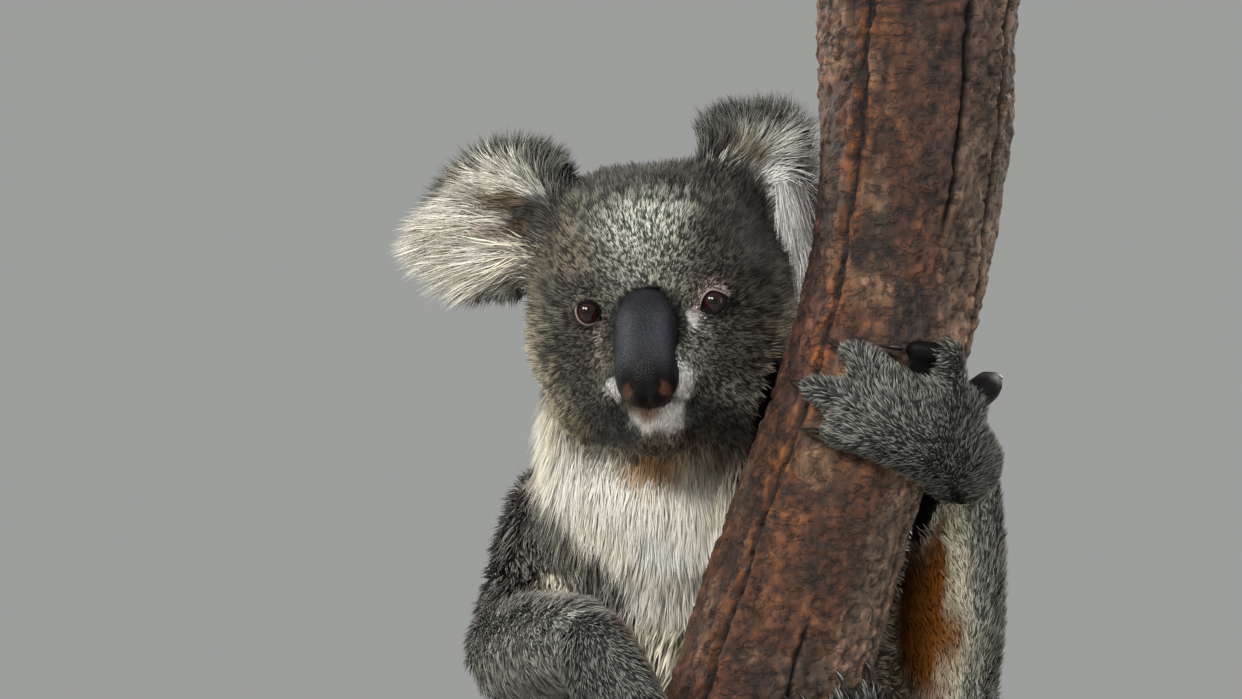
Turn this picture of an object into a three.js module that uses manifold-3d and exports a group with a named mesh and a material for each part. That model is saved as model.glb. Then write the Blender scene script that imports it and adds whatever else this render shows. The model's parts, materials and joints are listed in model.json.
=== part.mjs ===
// A life-size female koala hugging a cut length of gum-tree trunk, on a plain display stand.
// Millimetres, +Z up. The origin is the centre of the stand's underside. The face looks towards -Y,
// and "left" and "right" are the koala's own, so its left side is at +X.
// Every flesh solid reaches out to the tips of the coat.
import * as THREE from "three";
import { mergeVertices } from "three/addons/utils/BufferGeometryUtils.js";
import Module from "manifold-3d";

const wasm = await Module();
wasm.setup();

// ---- driving dimensions ----
const GAP = 0.5; // clearance between pieces that meet
const BASE_RADIUS = 172;
const BASE_THICKNESS = 18;
const ROD_RADIUS = 11;
const ROD_COLLAR_RADIUS = 24;
const PERCH_BOTTOM = 84;
const PERCH_TOP = 712;
const HEAD_HALF_WIDTH = 60;
const HEAD_HALF_HEIGHT = 72;
const HEAD_YAW = -7; // degrees, the face turned towards -X
const HEAD_ROLL = -4.5; // degrees, the left eye held higher
const EYE_RADIUS = 8.2;
const EYE_SPREAD = 30; // half the distance between the eyes
const CLAW_RADIUS = 2.5;

const at = (x, y, z) => new THREE.Vector3(x, y, z);
const rad = THREE.MathUtils.degToRad;

const HEAD = at(-25.6, -25, 526);
const NECK = at(-24, 10, 462);

// The joints of the limbs, which the limb solids are threaded on.
const LIMBS = {
  left: {
    sign: 1,
    shoulder: at(38, 48, 426),
    elbow: at(109, 6, 338),
    wrist: at(117, -50, 440),
    hip: at(46, 78, 196),
    knee: at(112, 0, 232),
    ankle: at(86, -62, 262),
  },
  right: {
    sign: -1,
    shoulder: at(-62, 42, 428),
    elbow: at(-93, -8, 361),
    wrist: at(-62, -94, 372),
    hip: at(-66, 76, 190),
    knee: at(-112, -8, 222),
    ankle: at(-60, -68, 176),
  },
};

const COLOURS = {
  coat: { color: 0x6d6a66, roughness: 0.95 },
  pale: { color: 0xd9d4c2, roughness: 0.95 },
  nose: { color: 0x2b2a30, roughness: 0.55 },
  eye: { color: 0x2a1510, roughness: 0.08 },
  claw: { color: 0x2a2725, roughness: 0.4 },
  bark: { color: 0x6b3a26, roughness: 0.9 },
  wood: { color: 0x3a3128, roughness: 0.5 },
  steel: { color: 0x8d8f92, roughness: 0.35, metalness: 1 },
};

// ---- solids ----

// A closed three.js geometry as a manifold solid.
function toSolid(geometry) {
  const bare = new THREE.BufferGeometry().setAttribute("position", geometry.getAttribute("position"));
  bare.setIndex(geometry.index);
  const merged = mergeVertices(bare, 1e-4);
  return new wasm.Manifold(
    new wasm.Mesh({
      numProp: 3,
      vertProperties: new Float32Array(merged.attributes.position.array),
      triVerts: new Uint32Array(merged.index.array),
    }),
  );
}

function toGeometry(solid) {
  const { numProp, numVert, vertProperties, triVerts } = solid.getMesh();
  const positions = new Float32Array(numVert * 3);
  for (let i = 0; i < numVert; i++) {
    positions.set(vertProperties.subarray(i * numProp, i * numProp + 3), i * 3);
  }
  const geometry = new THREE.BufferGeometry();
  geometry.setAttribute("position", new THREE.BufferAttribute(positions, 3));
  geometry.setIndex(new THREE.BufferAttribute(triVerts, 1));
  geometry.computeVertexNormals();
  return geometry;
}

// A closed surface through rings of equal length, with a pole at each end.
function ringSolid(startPole, rings, endPole) {
  const sides = rings[0].length;
  const points = [startPole, ...rings.flat(), endPole];
  const last = points.length - 1;
  const faces = [];
  for (let j = 0; j < sides; j++) {
    const next = (j + 1) % sides;
    faces.push(0, 1 + next, 1 + j);
    for (let i = 0; i < rings.length - 1; i++) {
      const low = 1 + i * sides;
      const high = low + sides;
      faces.push(low + j, low + next, high + next, low + j, high + next, high + j);
    }
    const top = 1 + (rings.length - 1) * sides;
    faces.push(last, top + j, top + next);
  }
  const geometry = new THREE.BufferGeometry().setFromPoints(points);
  geometry.setIndex(faces);
  return toSolid(geometry);
}

// A limb-like solid through stations [point, half width, half depth], with rounded ends. The half
// depth lies along `outward` as seen from the path, and the half width across it.
function tube(stations, { sides = 12, steps = 8, outward = at(0, -1, 0), round = 0.8, caps = 3, grow = 0 } = {}) {
  const path = new THREE.CatmullRomCurve3(stations.map(([point]) => point));
  const sizes = new THREE.CatmullRomCurve3(stations.map(([, width, depth]) => at(width, depth ?? width, 0)));
  const capAngles = Array.from({ length: caps }, (_, i) => ((caps - i) / (caps + 0.5)) * (Math.PI / 2));

  function ring(t, shrink, shift) {
    const tangent = path.getTangent(t);
    const deep = outward.clone().addScaledVector(tangent, -outward.dot(tangent)).normalize();
    const wide = new THREE.Vector3().crossVectors(deep, tangent);
    const size = sizes.getPoint(t);
    const halfWidth = (size.x + grow) * shrink;
    const halfDepth = (size.y + grow) * shrink;
    const reach = shift * round * Math.min(size.x + grow, size.y + grow);
    const centre = path.getPoint(t).addScaledVector(tangent, reach);
    return Array.from({ length: sides }, (_, j) => {
      const angle = (2 * Math.PI * j) / sides;
      return centre
        .clone()
        .addScaledVector(wide, halfWidth * Math.cos(angle))
        .addScaledVector(deep, halfDepth * Math.sin(angle));
    });
  }

  const pole = (t, direction) => {
    const size = sizes.getPoint(t);
    const reach = direction * round * Math.min(size.x + grow, size.y + grow);
    return path.getPoint(t).addScaledVector(path.getTangent(t), reach);
  };
  const rings = [
    ...capAngles.map((a) => ring(0, Math.cos(a), -Math.sin(a))),
    ...Array.from({ length: steps + 1 }, (_, i) => ring(i / steps, 1, 0)),
    ...capAngles.toReversed().map((a) => ring(1, Math.cos(a), Math.sin(a))),
  ];
  return ringSolid(pole(0, -1), rings, pole(1, 1));
}

// A ball-like solid whose every direction from `centre` is pushed out to where `field` reaches zero.
function starSolid(centre, field, { detail = 8, reach = 120, grow = 0 } = {}) {
  const geometry = new THREE.IcosahedronGeometry(1, detail);
  const position = geometry.getAttribute("position");
  const direction = new THREE.Vector3();
  for (let i = 0; i < position.count; i++) {
    direction.fromBufferAttribute(position, i).normalize();
    let inside = 0;
    let outside = reach;
    while (outside - inside > 1e-3) {
      const middle = (inside + outside) / 2;
      if (field(centre.clone().addScaledVector(direction, middle)) < 0) inside = middle;
      else outside = middle;
    }
    direction.multiplyScalar(inside + grow).add(centre);
    position.setXYZ(i, direction.x, direction.y, direction.z);
  }
  return toSolid(geometry);
}

// The distance from a point to an ellipsoid, near enough for blending.
function ellipsoid(point, centre, half) {
  const scaled = point.clone().sub(centre).divide(half);
  const reach = scaled.length();
  return (reach * (reach - 1)) / Math.max(scaled.divide(half).length(), 1e-6);
}

// The lower of two distances, with the crease between them filled over `width`.
function blend(a, b, width) {
  const near = Math.max(width - Math.abs(a - b), 0) / width;
  return Math.min(a, b) - (near * near * width) / 4;
}

// ---- the perch: a leaning, gently curved length of trunk ----

const perchStations = [
  [at(0, -38, PERCH_BOTTOM), 51],
  [at(-1, -42, 160), 50],
  [at(5, -50, 250), 48],
  [at(22, -56, 335), 46.5],
  [at(39, -60, 390), 46],
  [at(57, -61, 446), 46],
  [at(73, -60, 490), 45],
  [at(86, -57, 540), 44],
  [at(94, -55, 600), 45],
  [at(97, -53, 650), 46],
  [at(100, -50, PERCH_TOP), 48],
];
const perchPath = new THREE.CatmullRomCurve3(perchStations.map(([point]) => point));
const perchSizes = new THREE.CatmullRomCurve3(perchStations.map(([, radius]) => at(radius, 0, 0)));

// The share of the perch's path at which it reaches height z.
function perchShare(z) {
  let low = 0;
  let high = 1;
  for (let i = 0; i < 24; i++) {
    const middle = (low + high) / 2;
    if (perchPath.getPoint(middle).z < z) low = middle;
    else high = middle;
  }
  return (low + high) / 2;
}

// Low swellings and hollows of the trunk.
const perchLump = (angle, z) =>
  1.4 * Math.sin(2 * angle + z / 60) + 0.9 * Math.sin(3 * angle - z / 37) + 0.8 * Math.sin(z / 24 + angle);

// A point by the perch: `angle` degrees round it from the front towards +X, `lift` out of the bark.
function onPerch(z, angle, lift) {
  const share = perchShare(z);
  const reach = perchSizes.getPoint(share).x + lift;
  const turn = rad(angle);
  return perchPath.getPoint(share).add(at(reach * Math.sin(turn), -reach * Math.cos(turn), 0));
}

function perch(grow = 0) {
  const sides = 16;
  const steps = 12;
  const rings = Array.from({ length: steps + 1 }, (_, i) => {
    const z = THREE.MathUtils.lerp(PERCH_BOTTOM - grow, PERCH_TOP + grow, i / steps);
    return Array.from({ length: sides }, (_, j) => {
      const turn = (2 * Math.PI * j) / sides;
      const point = onPerch(z, THREE.MathUtils.radToDeg(turn), grow + perchLump(turn, z));
      return point.setZ(z);
    });
  });
  const middle = (ring) => ring.reduce((sum, p) => sum.add(p), at(0, 0, 0)).divideScalar(sides);
  return ringSolid(middle(rings[0]), rings, middle(rings[steps]));
}

// ---- the head, in its own frame: x to the koala's left, y to its back, origin in mid head ----

const headFrame = new THREE.Group();
headFrame.name = "head_frame";
headFrame.position.copy(HEAD);
headFrame.rotation.set(0, rad(HEAD_ROLL), rad(HEAD_YAW), "ZYX");
headFrame.updateMatrixWorld(true);

function headField(point) {
  const side = at(Math.abs(point.x), point.y, point.z);
  let field = ellipsoid(side, at(0, 10, 4), at(HEAD_HALF_WIDTH, 58, HEAD_HALF_HEIGHT - 4));
  field = blend(field, ellipsoid(side, at(24, 8, 36), at(30, 40, 35)), 14); // crown beside the ear
  field = blend(field, ellipsoid(side, at(27, -2, -30), at(33, 43, 40)), 12); // cheek
  field = blend(field, ellipsoid(side, at(0, -20, 26), at(44, 32, 38)), 12); // forehead
  field = blend(field, ellipsoid(side, at(30, -28, 13), at(16, 17, 11)), 10); // brow
  field = blend(field, ellipsoid(side, at(0, -40, -27), at(28, 31, 25)), 10); // muzzle
  field = blend(field, ellipsoid(side, at(0, -34, -54), at(22, 28, 18)), 8); // chin
  return field;
}

const headSolid = (grow = 0) => starSolid(at(0, -6, 0), headField, { detail: 5, grow });

// The bare shield of the nose, wide at the brow and rounded off over the nostrils.
function noseSolid(grow = 0) {
  const stations = [
    [at(0, -51, 5), 10, 7],
    [at(0, -55, -5), 14.2, 11],
    [at(0, -59.5, -16), 14.6, 13],
    [at(0, -63, -28), 13.8, 14],
    [at(0, -65, -38), 12.6, 13],
  ];
  return tube(stations, { sides: 10, steps: 4, round: 0.75, caps: 2, grow });
}

// A round ear, dished in front, with hair that reaches furthest at its outer lower edge.
// `flare` is the hair's extra reach there, and `dish` the depth of the hollow.
function earSolid({ radius, thickness, dish, flare, flareAngle, stretch, grow }) {
  const geometry = new THREE.IcosahedronGeometry(1, 3);
  const position = geometry.getAttribute("position");
  for (let i = 0; i < position.count; i++) {
    const [x, y, z] = [position.getX(i), position.getY(i), position.getZ(i)];
    const spread = Math.hypot(x, z);
    const lobe = Math.max(0, Math.cos(Math.atan2(z, x) - rad(flareAngle)));
    const reach = radius + flare * lobe * lobe + grow;
    const hollow = dish * (1 - spread * spread);
    position.setXYZ(i, x * reach, y * (thickness + grow) + hollow, z * reach * stretch);
  }
  return toSolid(geometry);
}

const EARS = {
  left: {
    shape: { radius: 44, thickness: 13, dish: 11, flare: 14, flareAngle: -80, stretch: 1.05 },
    position: at(51, 8, 57),
    turn: [0, rad(-8), rad(38)],
  },
  right: {
    shape: { radius: 43, thickness: 14, dish: 12, flare: 9, flareAngle: 205, stretch: 1 },
    position: at(-77, 4, 49),
    turn: [0, 0, rad(-8)],
  },
};

// ---- hands and feet ----

// A curved claw that grows out of a digit's last stretch and bends towards `down`.
function claw(points, radius, length, down) {
  const tip = points.at(-1);
  const forward = tip.clone().sub(points.at(-2)).normalize();
  const root = tip.clone().addScaledVector(forward, radius * 0.25).addScaledVector(down, -radius * 0.3);
  const bend = root.clone().addScaledVector(forward, length * 0.6).addScaledVector(down, length * 0.08);
  const end = root.clone().addScaledVector(forward, length * 0.95).addScaledVector(down, length * 0.42);
  const stations = [
    [root, CLAW_RADIUS * 0.8, CLAW_RADIUS],
    [bend, CLAW_RADIUS * 0.6, CLAW_RADIUS * 0.8],
    [end, 0.6, 0.6],
  ];
  return tube(stations, { sides: 4, steps: 2, outward: down, round: 0.5, caps: 0 });
}

// Each paw's palm runs from its heel to its knuckles. A digit is a list of [height, angle round the
// perch, distance out of the bark], from its knuckle to its tip, and a radius.
const PAWS = {
  hand_left: {
    heel: [at(120, -64, 450), 20, 17],
    palm: [at(106, -100, 464), 23, 16],
    knuckles: [at(78, -116, 478), 24, 12],
    digits: [
      { points: [[478, 52, 12], [489, 70, 14], [492, 82, 13]], radius: 9.6 },
      { points: [[486, 42, 13], [505, 31, 17], [507, 15, 11]], radius: 9.2 },
      { points: [[491, 8, 10], [501, -6, 9], [506, -18, 7]], radius: 8.6 },
      { points: [[480, -2, 11], [486, -19, 9], [489, -33, 7]], radius: 8.8 },
      { points: [[468, 10, 11], [467, -3, 9], [468, -13, 7]], radius: 8.6 },
    ],
  },
  hand_right: {
    heel: [at(-60, -98, 370), 21, 18],
    palm: [at(-48, -108, 350), 24, 16],
    knuckles: [at(-36, -110, 328), 24, 12],
    digits: [
      { points: [[322, -74, 10], [308, -86, 10], [298, -92, 9]], radius: 9.2 },
      { points: [[314, -62, 11], [298, -68, 9], [288, -70, 8]], radius: 9 },
      { points: [[310, -48, 11], [292, -40, 9], [280, -34, 7]], radius: 8.6 },
      { points: [[316, -40, 11], [300, -26, 9], [289, -16, 7]], radius: 8.8 },
      { points: [[328, -38, 11], [318, -22, 9], [309, -10, 7]], radius: 8.4 },
    ],
  },
  foot_left: {
    heel: [at(86, -62, 258), 24, 22],
    palm: [at(80, -84, 284), 26, 18],
    knuckles: [at(72, -96, 308), 24, 13],
    digits: [
      { points: [[288, 34, 12], [294, 14, 11], [298, 0, 10]], radius: 10, bare: true },
      { points: [[310, 36, 11], [322, 28, 9], [332, 22, 7]], radius: 9.6, twin: true },
      { points: [[316, 50, 11], [330, 46, 9], [342, 42, 7]], radius: 8.8 },
      { points: [[318, 64, 11], [334, 64, 9], [346, 62, 7]], radius: 8.6 },
    ],
  },
  foot_right: {
    heel: [at(-60, -68, 172), 24, 22],
    palm: [at(-56, -86, 198), 26, 18],
    knuckles: [at(-46, -98, 222), 24, 13],
    digits: [
      { points: [[200, -36, 12], [208, -16, 11], [214, -2, 10]], radius: 10, bare: true },
      { points: [[226, -38, 11], [240, -28, 9], [250, -21, 7]], radius: 9.6, twin: true },
      { points: [[232, -52, 11], [248, -48, 9], [260, -43, 7]], radius: 8.8 },
      { points: [[230, -66, 11], [246, -68, 9], [258, -67, 7]], radius: 8.6 },
    ],
  },
};

// The paw's solid and its claws' solids, before they are cut by what they touch.
function paw({ heel, palm, knuckles, digits }, grow) {
  const outward = knuckles[0].clone().sub(perchPath.getPoint(perchShare(knuckles[0].z))).setZ(0).normalize();
  let body = tube([heel, palm, knuckles], { sides: 8, steps: 3, outward, round: 0.7, caps: 2, grow });
  const claws = [];
  for (const { points, radius, bare, twin } of digits) {
    const route = points.map(([z, angle, lift]) => onPerch(z, angle, lift));
    const start = palm[0].clone().lerp(route[0], 0.45);
    const thick = [[start, radius * 1.05], ...route.map((point, i) => [point, radius * [1.05, 1, 0.82][i]])];
    body = body.add(tube(thick, { sides: 6, steps: 3, outward, caps: 1, grow }));
    if (bare) continue;
    const bark = perchPath.getPoint(perchShare(route[2].z));
    const down = bark.sub(route[2]).setZ(0).normalize();
    const across = new THREE.Vector3().crossVectors(down, route[2].clone().sub(route[1])).normalize();
    for (const shift of twin ? [-3.6, 3.6] : [0]) {
      const shifted = route.map((point) => point.clone().addScaledVector(across, shift));
      claws.push(claw(shifted, radius * 0.82, 15, down));
    }
  }
  return { body, claws };
}

// ---- the limbs' segments ----

const between = (a, b, share) => a.clone().lerp(b, share);

function segment(from, to, sizes, bow, options) {
  const count = sizes.length - 1;
  const stations = sizes.map(([width, depth], i) => {
    const share = i / count;
    return [between(from, to, share).addScaledVector(bow, Math.sin(Math.PI * share)), width, depth];
  });
  return tube(stations, { sides: 10, steps: 3, caps: 1, ...options });
}

const SEGMENT_SHAPES = {
  upper_arm: { from: "shoulder", to: "elbow", sizes: [[40, 38], [39, 37], [34, 33], [30, 30]], bow: [0, 6, 0] },
  forearm: { from: "elbow", to: "wrist", sizes: [[30, 30], [28, 27], [25, 24], [21, 19]], bow: [3, 3, 0] },
  thigh: { from: "hip", to: "knee", sizes: [[62, 58], [62, 56], [54, 50], [42, 42]], bow: [6, 8, -2] },
  shank: { from: "knee", to: "ankle", sizes: [[40, 38], [36, 34], [30, 29], [26, 23]], bow: [6, 2, 0] },
};

function limbSegment(side, name, grow = 0) {
  const limb = LIMBS[side];
  const { from, to, sizes, bow } = SEGMENT_SHAPES[name];
  return segment(limb[from], limb[to], sizes, at(bow[0] * limb.sign, bow[1], bow[2]), { grow });
}

// ---- the torso and the neck ----

function torsoSolid(grow = 0) {
  const stations = [
    [at(-12, 66, 148), 66, 62],
    [at(-11, 78, 196), 92, 82],
    [at(-11, 82, 258), 95, 86],
    [at(-13, 75, 324), 88, 78],
    [at(-17, 59, 384), 83, 74],
    [at(-21, 40, 428), 74, 62],
  ];
  return tube(stations, { sides: 16, steps: 8, round: 0.75, grow });
}

function neckSolid(grow = 0) {
  const chest = at(-22, 20, 424);
  const nape = HEAD.clone().add(at(0, 24, -14));
  return tube([[chest, 66, 56], [NECK, 65, 60], [nape, 56, 50]], { sides: 14, steps: 3, caps: 2, grow });
}

// ---- the stand ----

// A turned solid about the Z axis, through profile points [radius, height].
function turned(profile, sides) {
  const points = profile.map(([x, y]) => new THREE.Vector2(x, y));
  return toSolid(new THREE.LatheGeometry(points, sides).rotateX(Math.PI / 2));
}

function standBase() {
  const profile = [
    [0, 0],
    [BASE_RADIUS, 0],
    [BASE_RADIUS, BASE_THICKNESS - 5],
    [BASE_RADIUS - 5, BASE_THICKNESS],
    [0, BASE_THICKNESS],
  ];
  return turned(profile, 32);
}

function standRod() {
  const foot = BASE_THICKNESS + GAP;
  const top = PERCH_BOTTOM - GAP;
  const profile = [
    [0, foot],
    [ROD_COLLAR_RADIUS, foot],
    [ROD_COLLAR_RADIUS, foot + 5],
    [ROD_RADIUS, foot + 9],
    [ROD_RADIUS, top],
    [0, top],
  ];
  const place = perchStations[0][0];
  return turned(profile, 12).translate([place.x, place.y, 0]);
}

// ---- the pieces, each of which gives way to those before it ----

const toBody = (solid) => solid.transform(headFrame.matrixWorld.toArray());

const eyeCentre = (sign) => at(sign * EYE_SPREAD, -38, 1);
function ball(centre, radius, detail) {
  const geometry = new THREE.IcosahedronGeometry(radius, detail);
  return toSolid(geometry.translate(centre.x, centre.y, centre.z));
}
const eyeBall = (sign, grow) => toBody(ball(eyeCentre(sign), EYE_RADIUS + grow, 1));

// The head, opened over each eye where the coat parts.
function headPiece(grow) {
  const openings = [1, -1].map((sign) => {
    const centre = eyeCentre(sign).add(at(sign * 2, -6, 0));
    return ball(centre, EYE_RADIUS + 1.2 - grow, 1);
  });
  return toBody(openings.reduce((solid, opening) => solid.subtract(opening), headSolid(grow)));
}

function earPiece(side, grow) {
  const { shape, position, turn } = EARS[side];
  const placed = new THREE.Object3D();
  placed.position.copy(position);
  placed.rotation.set(...turn);
  placed.updateMatrix();
  return toBody(earSolid({ ...shape, grow }).transform(placed.matrix.toArray()));
}

const koala = new THREE.Group();
koala.name = "koala";
koala.add(headFrame);

const pieces = [
  { name: "perch", material: "bark", make: perch },
  { name: "eye_left", material: "eye", parent: headFrame, make: (grow) => eyeBall(1, grow) },
  { name: "eye_right", material: "eye", parent: headFrame, make: (grow) => eyeBall(-1, grow) },
  { name: "nose", material: "nose", parent: headFrame, make: (grow) => toBody(noseSolid(grow)) },
  { name: "head", material: "coat", parent: headFrame, make: headPiece },
  { name: "ear_left", material: "pale", parent: headFrame, make: (grow) => earPiece("left", grow) },
  { name: "ear_right", material: "pale", parent: headFrame, make: (grow) => earPiece("right", grow) },
  { name: "neck", material: "pale", make: neckSolid },
  { name: "torso", material: "coat", make: torsoSolid },
];
for (const side of ["left", "right"]) {
  for (const name of ["upper_arm", "forearm", "thigh", "shank"]) {
    pieces.push({ name: `${name}_${side}`, material: "coat", make: (grow) => limbSegment(side, name, grow) });
  }
}
const clawPieces = [];
for (const [name, plan] of Object.entries(PAWS)) {
  pieces.push({ name, material: "coat", make: (grow) => paw(plan, grow).body });
  paw(plan, 0).claws.forEach((solid, i) => {
    clawPieces.push({ name: `claw_${name}_${i + 1}`, material: "claw", make: () => solid });
  });
}
pieces.push(...clawPieces);
pieces.push({ name: "stand_base", material: "wood", make: standBase });
pieces.push({ name: "stand_rod", material: "steel", make: standRod });

const materials = Object.fromEntries(
  Object.entries(COLOURS).map(([name, look]) => [name, new THREE.MeshStandardMaterial(look)]),
);

function touches(a, b) {
  const [p, q] = [a.boundingBox(), b.boundingBox()];
  return [0, 1, 2].every((i) => p.min[i] < q.max[i] && q.min[i] < p.max[i]);
}

const settled = [];
for (const { name, material, parent = koala, make } of pieces) {
  const whole = make(0);
  const left = settled.filter((grown) => touches(whole, grown)).reduce((solid, grown) => solid.subtract(grown), whole);
  // Only the largest body is kept, without any sliver that the cuts leave.
  const body = left.decompose().reduce((largest, one) => (one.volume() > largest.volume() ? one : largest));
  const geometry = toGeometry(body).applyMatrix4(parent.matrixWorld.clone().invert());
  const mesh = new THREE.Mesh(geometry, materials[material]);
  mesh.name = name;
  parent.add(mesh);
  settled.push(make(GAP));
}

export default koala;
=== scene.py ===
"""The looks of a life-size koala that clings to a cut length of trunk on a display stand.

One skin, made from the solids of the body, carries a coat of mesh tufts. The eyes, nose, claws, bark and
stand are pieces of their own. Lengths are in metres, in the frame of the solids: +X to the koala's left,
+Y behind it and +Z up. Where a comment says mm, they are in millimetres.
"""

import json
import math

import bmesh
import bpy
import numpy as np
from mathutils import Matrix, Vector
from mathutils.bvhtree import BVHTree
from mathutils.kdtree import KDTree

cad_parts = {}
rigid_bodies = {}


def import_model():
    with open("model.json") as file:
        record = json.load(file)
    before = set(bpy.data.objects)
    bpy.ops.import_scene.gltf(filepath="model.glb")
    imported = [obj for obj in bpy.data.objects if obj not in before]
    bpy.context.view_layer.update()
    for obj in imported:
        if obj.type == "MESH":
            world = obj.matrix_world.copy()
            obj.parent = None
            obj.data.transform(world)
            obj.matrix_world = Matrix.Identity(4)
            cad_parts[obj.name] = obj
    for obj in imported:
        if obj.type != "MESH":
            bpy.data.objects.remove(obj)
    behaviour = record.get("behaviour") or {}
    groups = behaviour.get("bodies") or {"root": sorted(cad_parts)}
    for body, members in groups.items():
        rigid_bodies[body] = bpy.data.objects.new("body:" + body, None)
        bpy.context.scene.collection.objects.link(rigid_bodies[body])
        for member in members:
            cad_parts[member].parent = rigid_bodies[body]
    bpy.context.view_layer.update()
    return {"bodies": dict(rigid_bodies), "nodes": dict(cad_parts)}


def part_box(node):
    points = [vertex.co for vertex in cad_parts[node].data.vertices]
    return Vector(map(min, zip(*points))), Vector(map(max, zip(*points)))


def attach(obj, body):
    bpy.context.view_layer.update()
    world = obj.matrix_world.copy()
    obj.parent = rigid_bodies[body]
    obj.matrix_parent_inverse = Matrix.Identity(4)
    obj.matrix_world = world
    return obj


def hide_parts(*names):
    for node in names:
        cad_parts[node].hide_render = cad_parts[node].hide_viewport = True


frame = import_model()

MM = 0.001
BODY = next(iter(frame["bodies"]))
SIDES = ("left", "right")
PAWS = [f"{end}_{side}" for end in ("hand", "foot") for side in SIDES]
EARS = [f"ear_{side}" for side in SIDES]
LIMBS = [f"{part}_{side}" for part in ("upper_arm", "forearm", "thigh", "shank") for side in SIDES]
FLESH = ["head", "neck", "torso"] + EARS + LIMBS + PAWS
SOLIDS = FLESH + ["nose", "eye_left", "eye_right"]
CLAWS = {paw: sorted(n for n in frame["nodes"] if n.startswith(f"claw_{paw}_")) for paw in PAWS}
UP = np.array((0.0, 0.0, 1.0))


# ---------------------------------------------------------------- numbers

def unit(vectors):
    """Vectors scaled to a length of one."""
    return vectors / np.maximum(np.linalg.norm(vectors, axis=-1, keepdims=True), 1e-12)


def step(low, high, value):
    """0 below low, 1 above high, and a smooth rise between them."""
    t = np.clip((value - low) / (high - low), 0, 1)
    return t * t * (3 - 2 * t)


def bell(value, width):
    """1 where value is 0, falling smoothly towards 0 beyond a width to each side."""
    return np.exp(-((value / width) ** 2))


def mixed(a, b, share):
    """a where share is 0 and b where it is 1."""
    share = np.asarray(share)[..., None]
    return a * (1 - share) + b * share


def tone(red, green, blue):
    """A display colour, from 0 to 255, as the linear colour that the shaders use."""
    c = np.array((red, green, blue)) / 255
    return np.where(c <= 0.04045, c / 12.92, ((c + 0.055) / 1.055) ** 2.4)


LAYERS, CELLS = 6, 32     # of the noise's lattice, which repeats after so many cells
LATTICE_SEED = 11
LATTICE = np.random.default_rng(LATTICE_SEED).random((LAYERS, CELLS, CELLS, CELLS))


def noise(points, size, layer=0, squat=1.0):
    """Smooth noise from 0 to 1, with lumps size mm wide and size / squat mm high. Each layer is another
    pattern."""
    place = points * (1, 1, squat) / (size * MM) + 7.3 * layer
    cell = np.floor(place).astype(int)
    t = place - cell
    t = t * t * (3 - 2 * t)
    total = np.zeros(len(points))
    for corner in np.ndindex(2, 2, 2):
        share = np.prod(np.where(corner, t, 1 - t), axis=-1)
        i, j, k = ((cell + corner) % CELLS).T
        total += share * LATTICE[layer, i, j, k]
    return total


def middle(node):
    """The middle of a solid's box."""
    low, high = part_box(node)
    return (np.array(low) + np.array(high)) / 2


# ---------------------------------------------------------------- frames of the head and the perch

EYE_AT = {side: middle(f"eye_{side}") for side in SIDES}
EYE_RADIUS = (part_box("eye_left")[1].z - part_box("eye_left")[0].z) / 2
HEAD_X = unit(EYE_AT["left"] - EYE_AT["right"])
HEAD_Y = unit(np.cross(UP, HEAD_X))
HEAD_AXES = np.array((HEAD_X, HEAD_Y, np.cross(HEAD_X, HEAD_Y)))
EYES_TO_MIDDLE = (0.0, 38 * MM, -1 * MM)  # from between the eyes to the head's middle, along its axes
HEAD_AT = (EYE_AT["left"] + EYE_AT["right"]) / 2 + EYES_TO_MIDDLE @ HEAD_AXES
WELD = 0.01 * MM          # corners of a solid that are nearer than this are one


def in_head(points):
    """Points in the head's own frame, in mm: x to its left, y to its back and z to its crown."""
    return (points - HEAD_AT) @ HEAD_AXES.T / MM


def from_head(local):
    """Places in the head's own frame, in mm, as points of the part."""
    return HEAD_AT + np.asarray(local) * MM @ HEAD_AXES


def forward(normals):
    """How far normals face ahead of the head, from -1 to 1."""
    return -(normals @ HEAD_Y)


def welded(node):
    """A solid's points, outward normals and triangles, with its corners joined."""
    shape = bmesh.new()
    shape.from_mesh(frame["nodes"][node].data)
    bmesh.ops.remove_doubles(shape, verts=shape.verts, dist=WELD)
    bmesh.ops.triangulate(shape, faces=shape.faces)
    shape.normal_update()
    points = np.array([v.co for v in shape.verts])
    normals = np.array([v.normal for v in shape.verts])
    faces = np.array([[v.index for v in f.verts] for f in shape.faces])
    shape.free()
    return points, normals, faces


PERCH_POINTS, _, PERCH_FACES = welded("perch")
PERCH_TREE = BVHTree.FromPolygons(PERCH_POINTS.tolist(), PERCH_FACES.tolist())
PERCH_LINE = [np.polyfit(PERCH_POINTS[:, 2], PERCH_POINTS[:, axis], 6) for axis in (0, 1)]


def perch_middle(z):
    """The middle of the trunk at each height."""
    return np.stack([np.polyval(line, z) for line in PERCH_LINE] + [z], axis=-1)


PERCH_GIRTH = np.polyfit(
    PERCH_POINTS[:, 2], np.linalg.norm(PERCH_POINTS - perch_middle(PERCH_POINTS[:, 2]), axis=1), 4
)


def perch_gap(points):
    """How far points are from the bark, and the level direction from each of them to the trunk's middle."""
    inward = perch_middle(points[:, 2]) - points
    return np.linalg.norm(inward, axis=1) - np.polyval(PERCH_GIRTH, points[:, 2]), unit(inward)


# ---------------------------------------------------------------- meshes

def numbers(items, name, width, dtype=float):
    """One property of all of a mesh's items as an array."""
    values = np.zeros(len(items) * width, dtype)
    items.foreach_get(name, values)
    return values.reshape(-1, width) if width > 1 else values


def point_normals(mesh):
    """A mesh's normals at its points."""
    return numbers(mesh.vertex_normals, "vector", 3)


def moved(mesh, points):
    """Moves a mesh's points to new places."""
    mesh.vertices.foreach_set("co", points.ravel())
    mesh.update()


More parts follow.
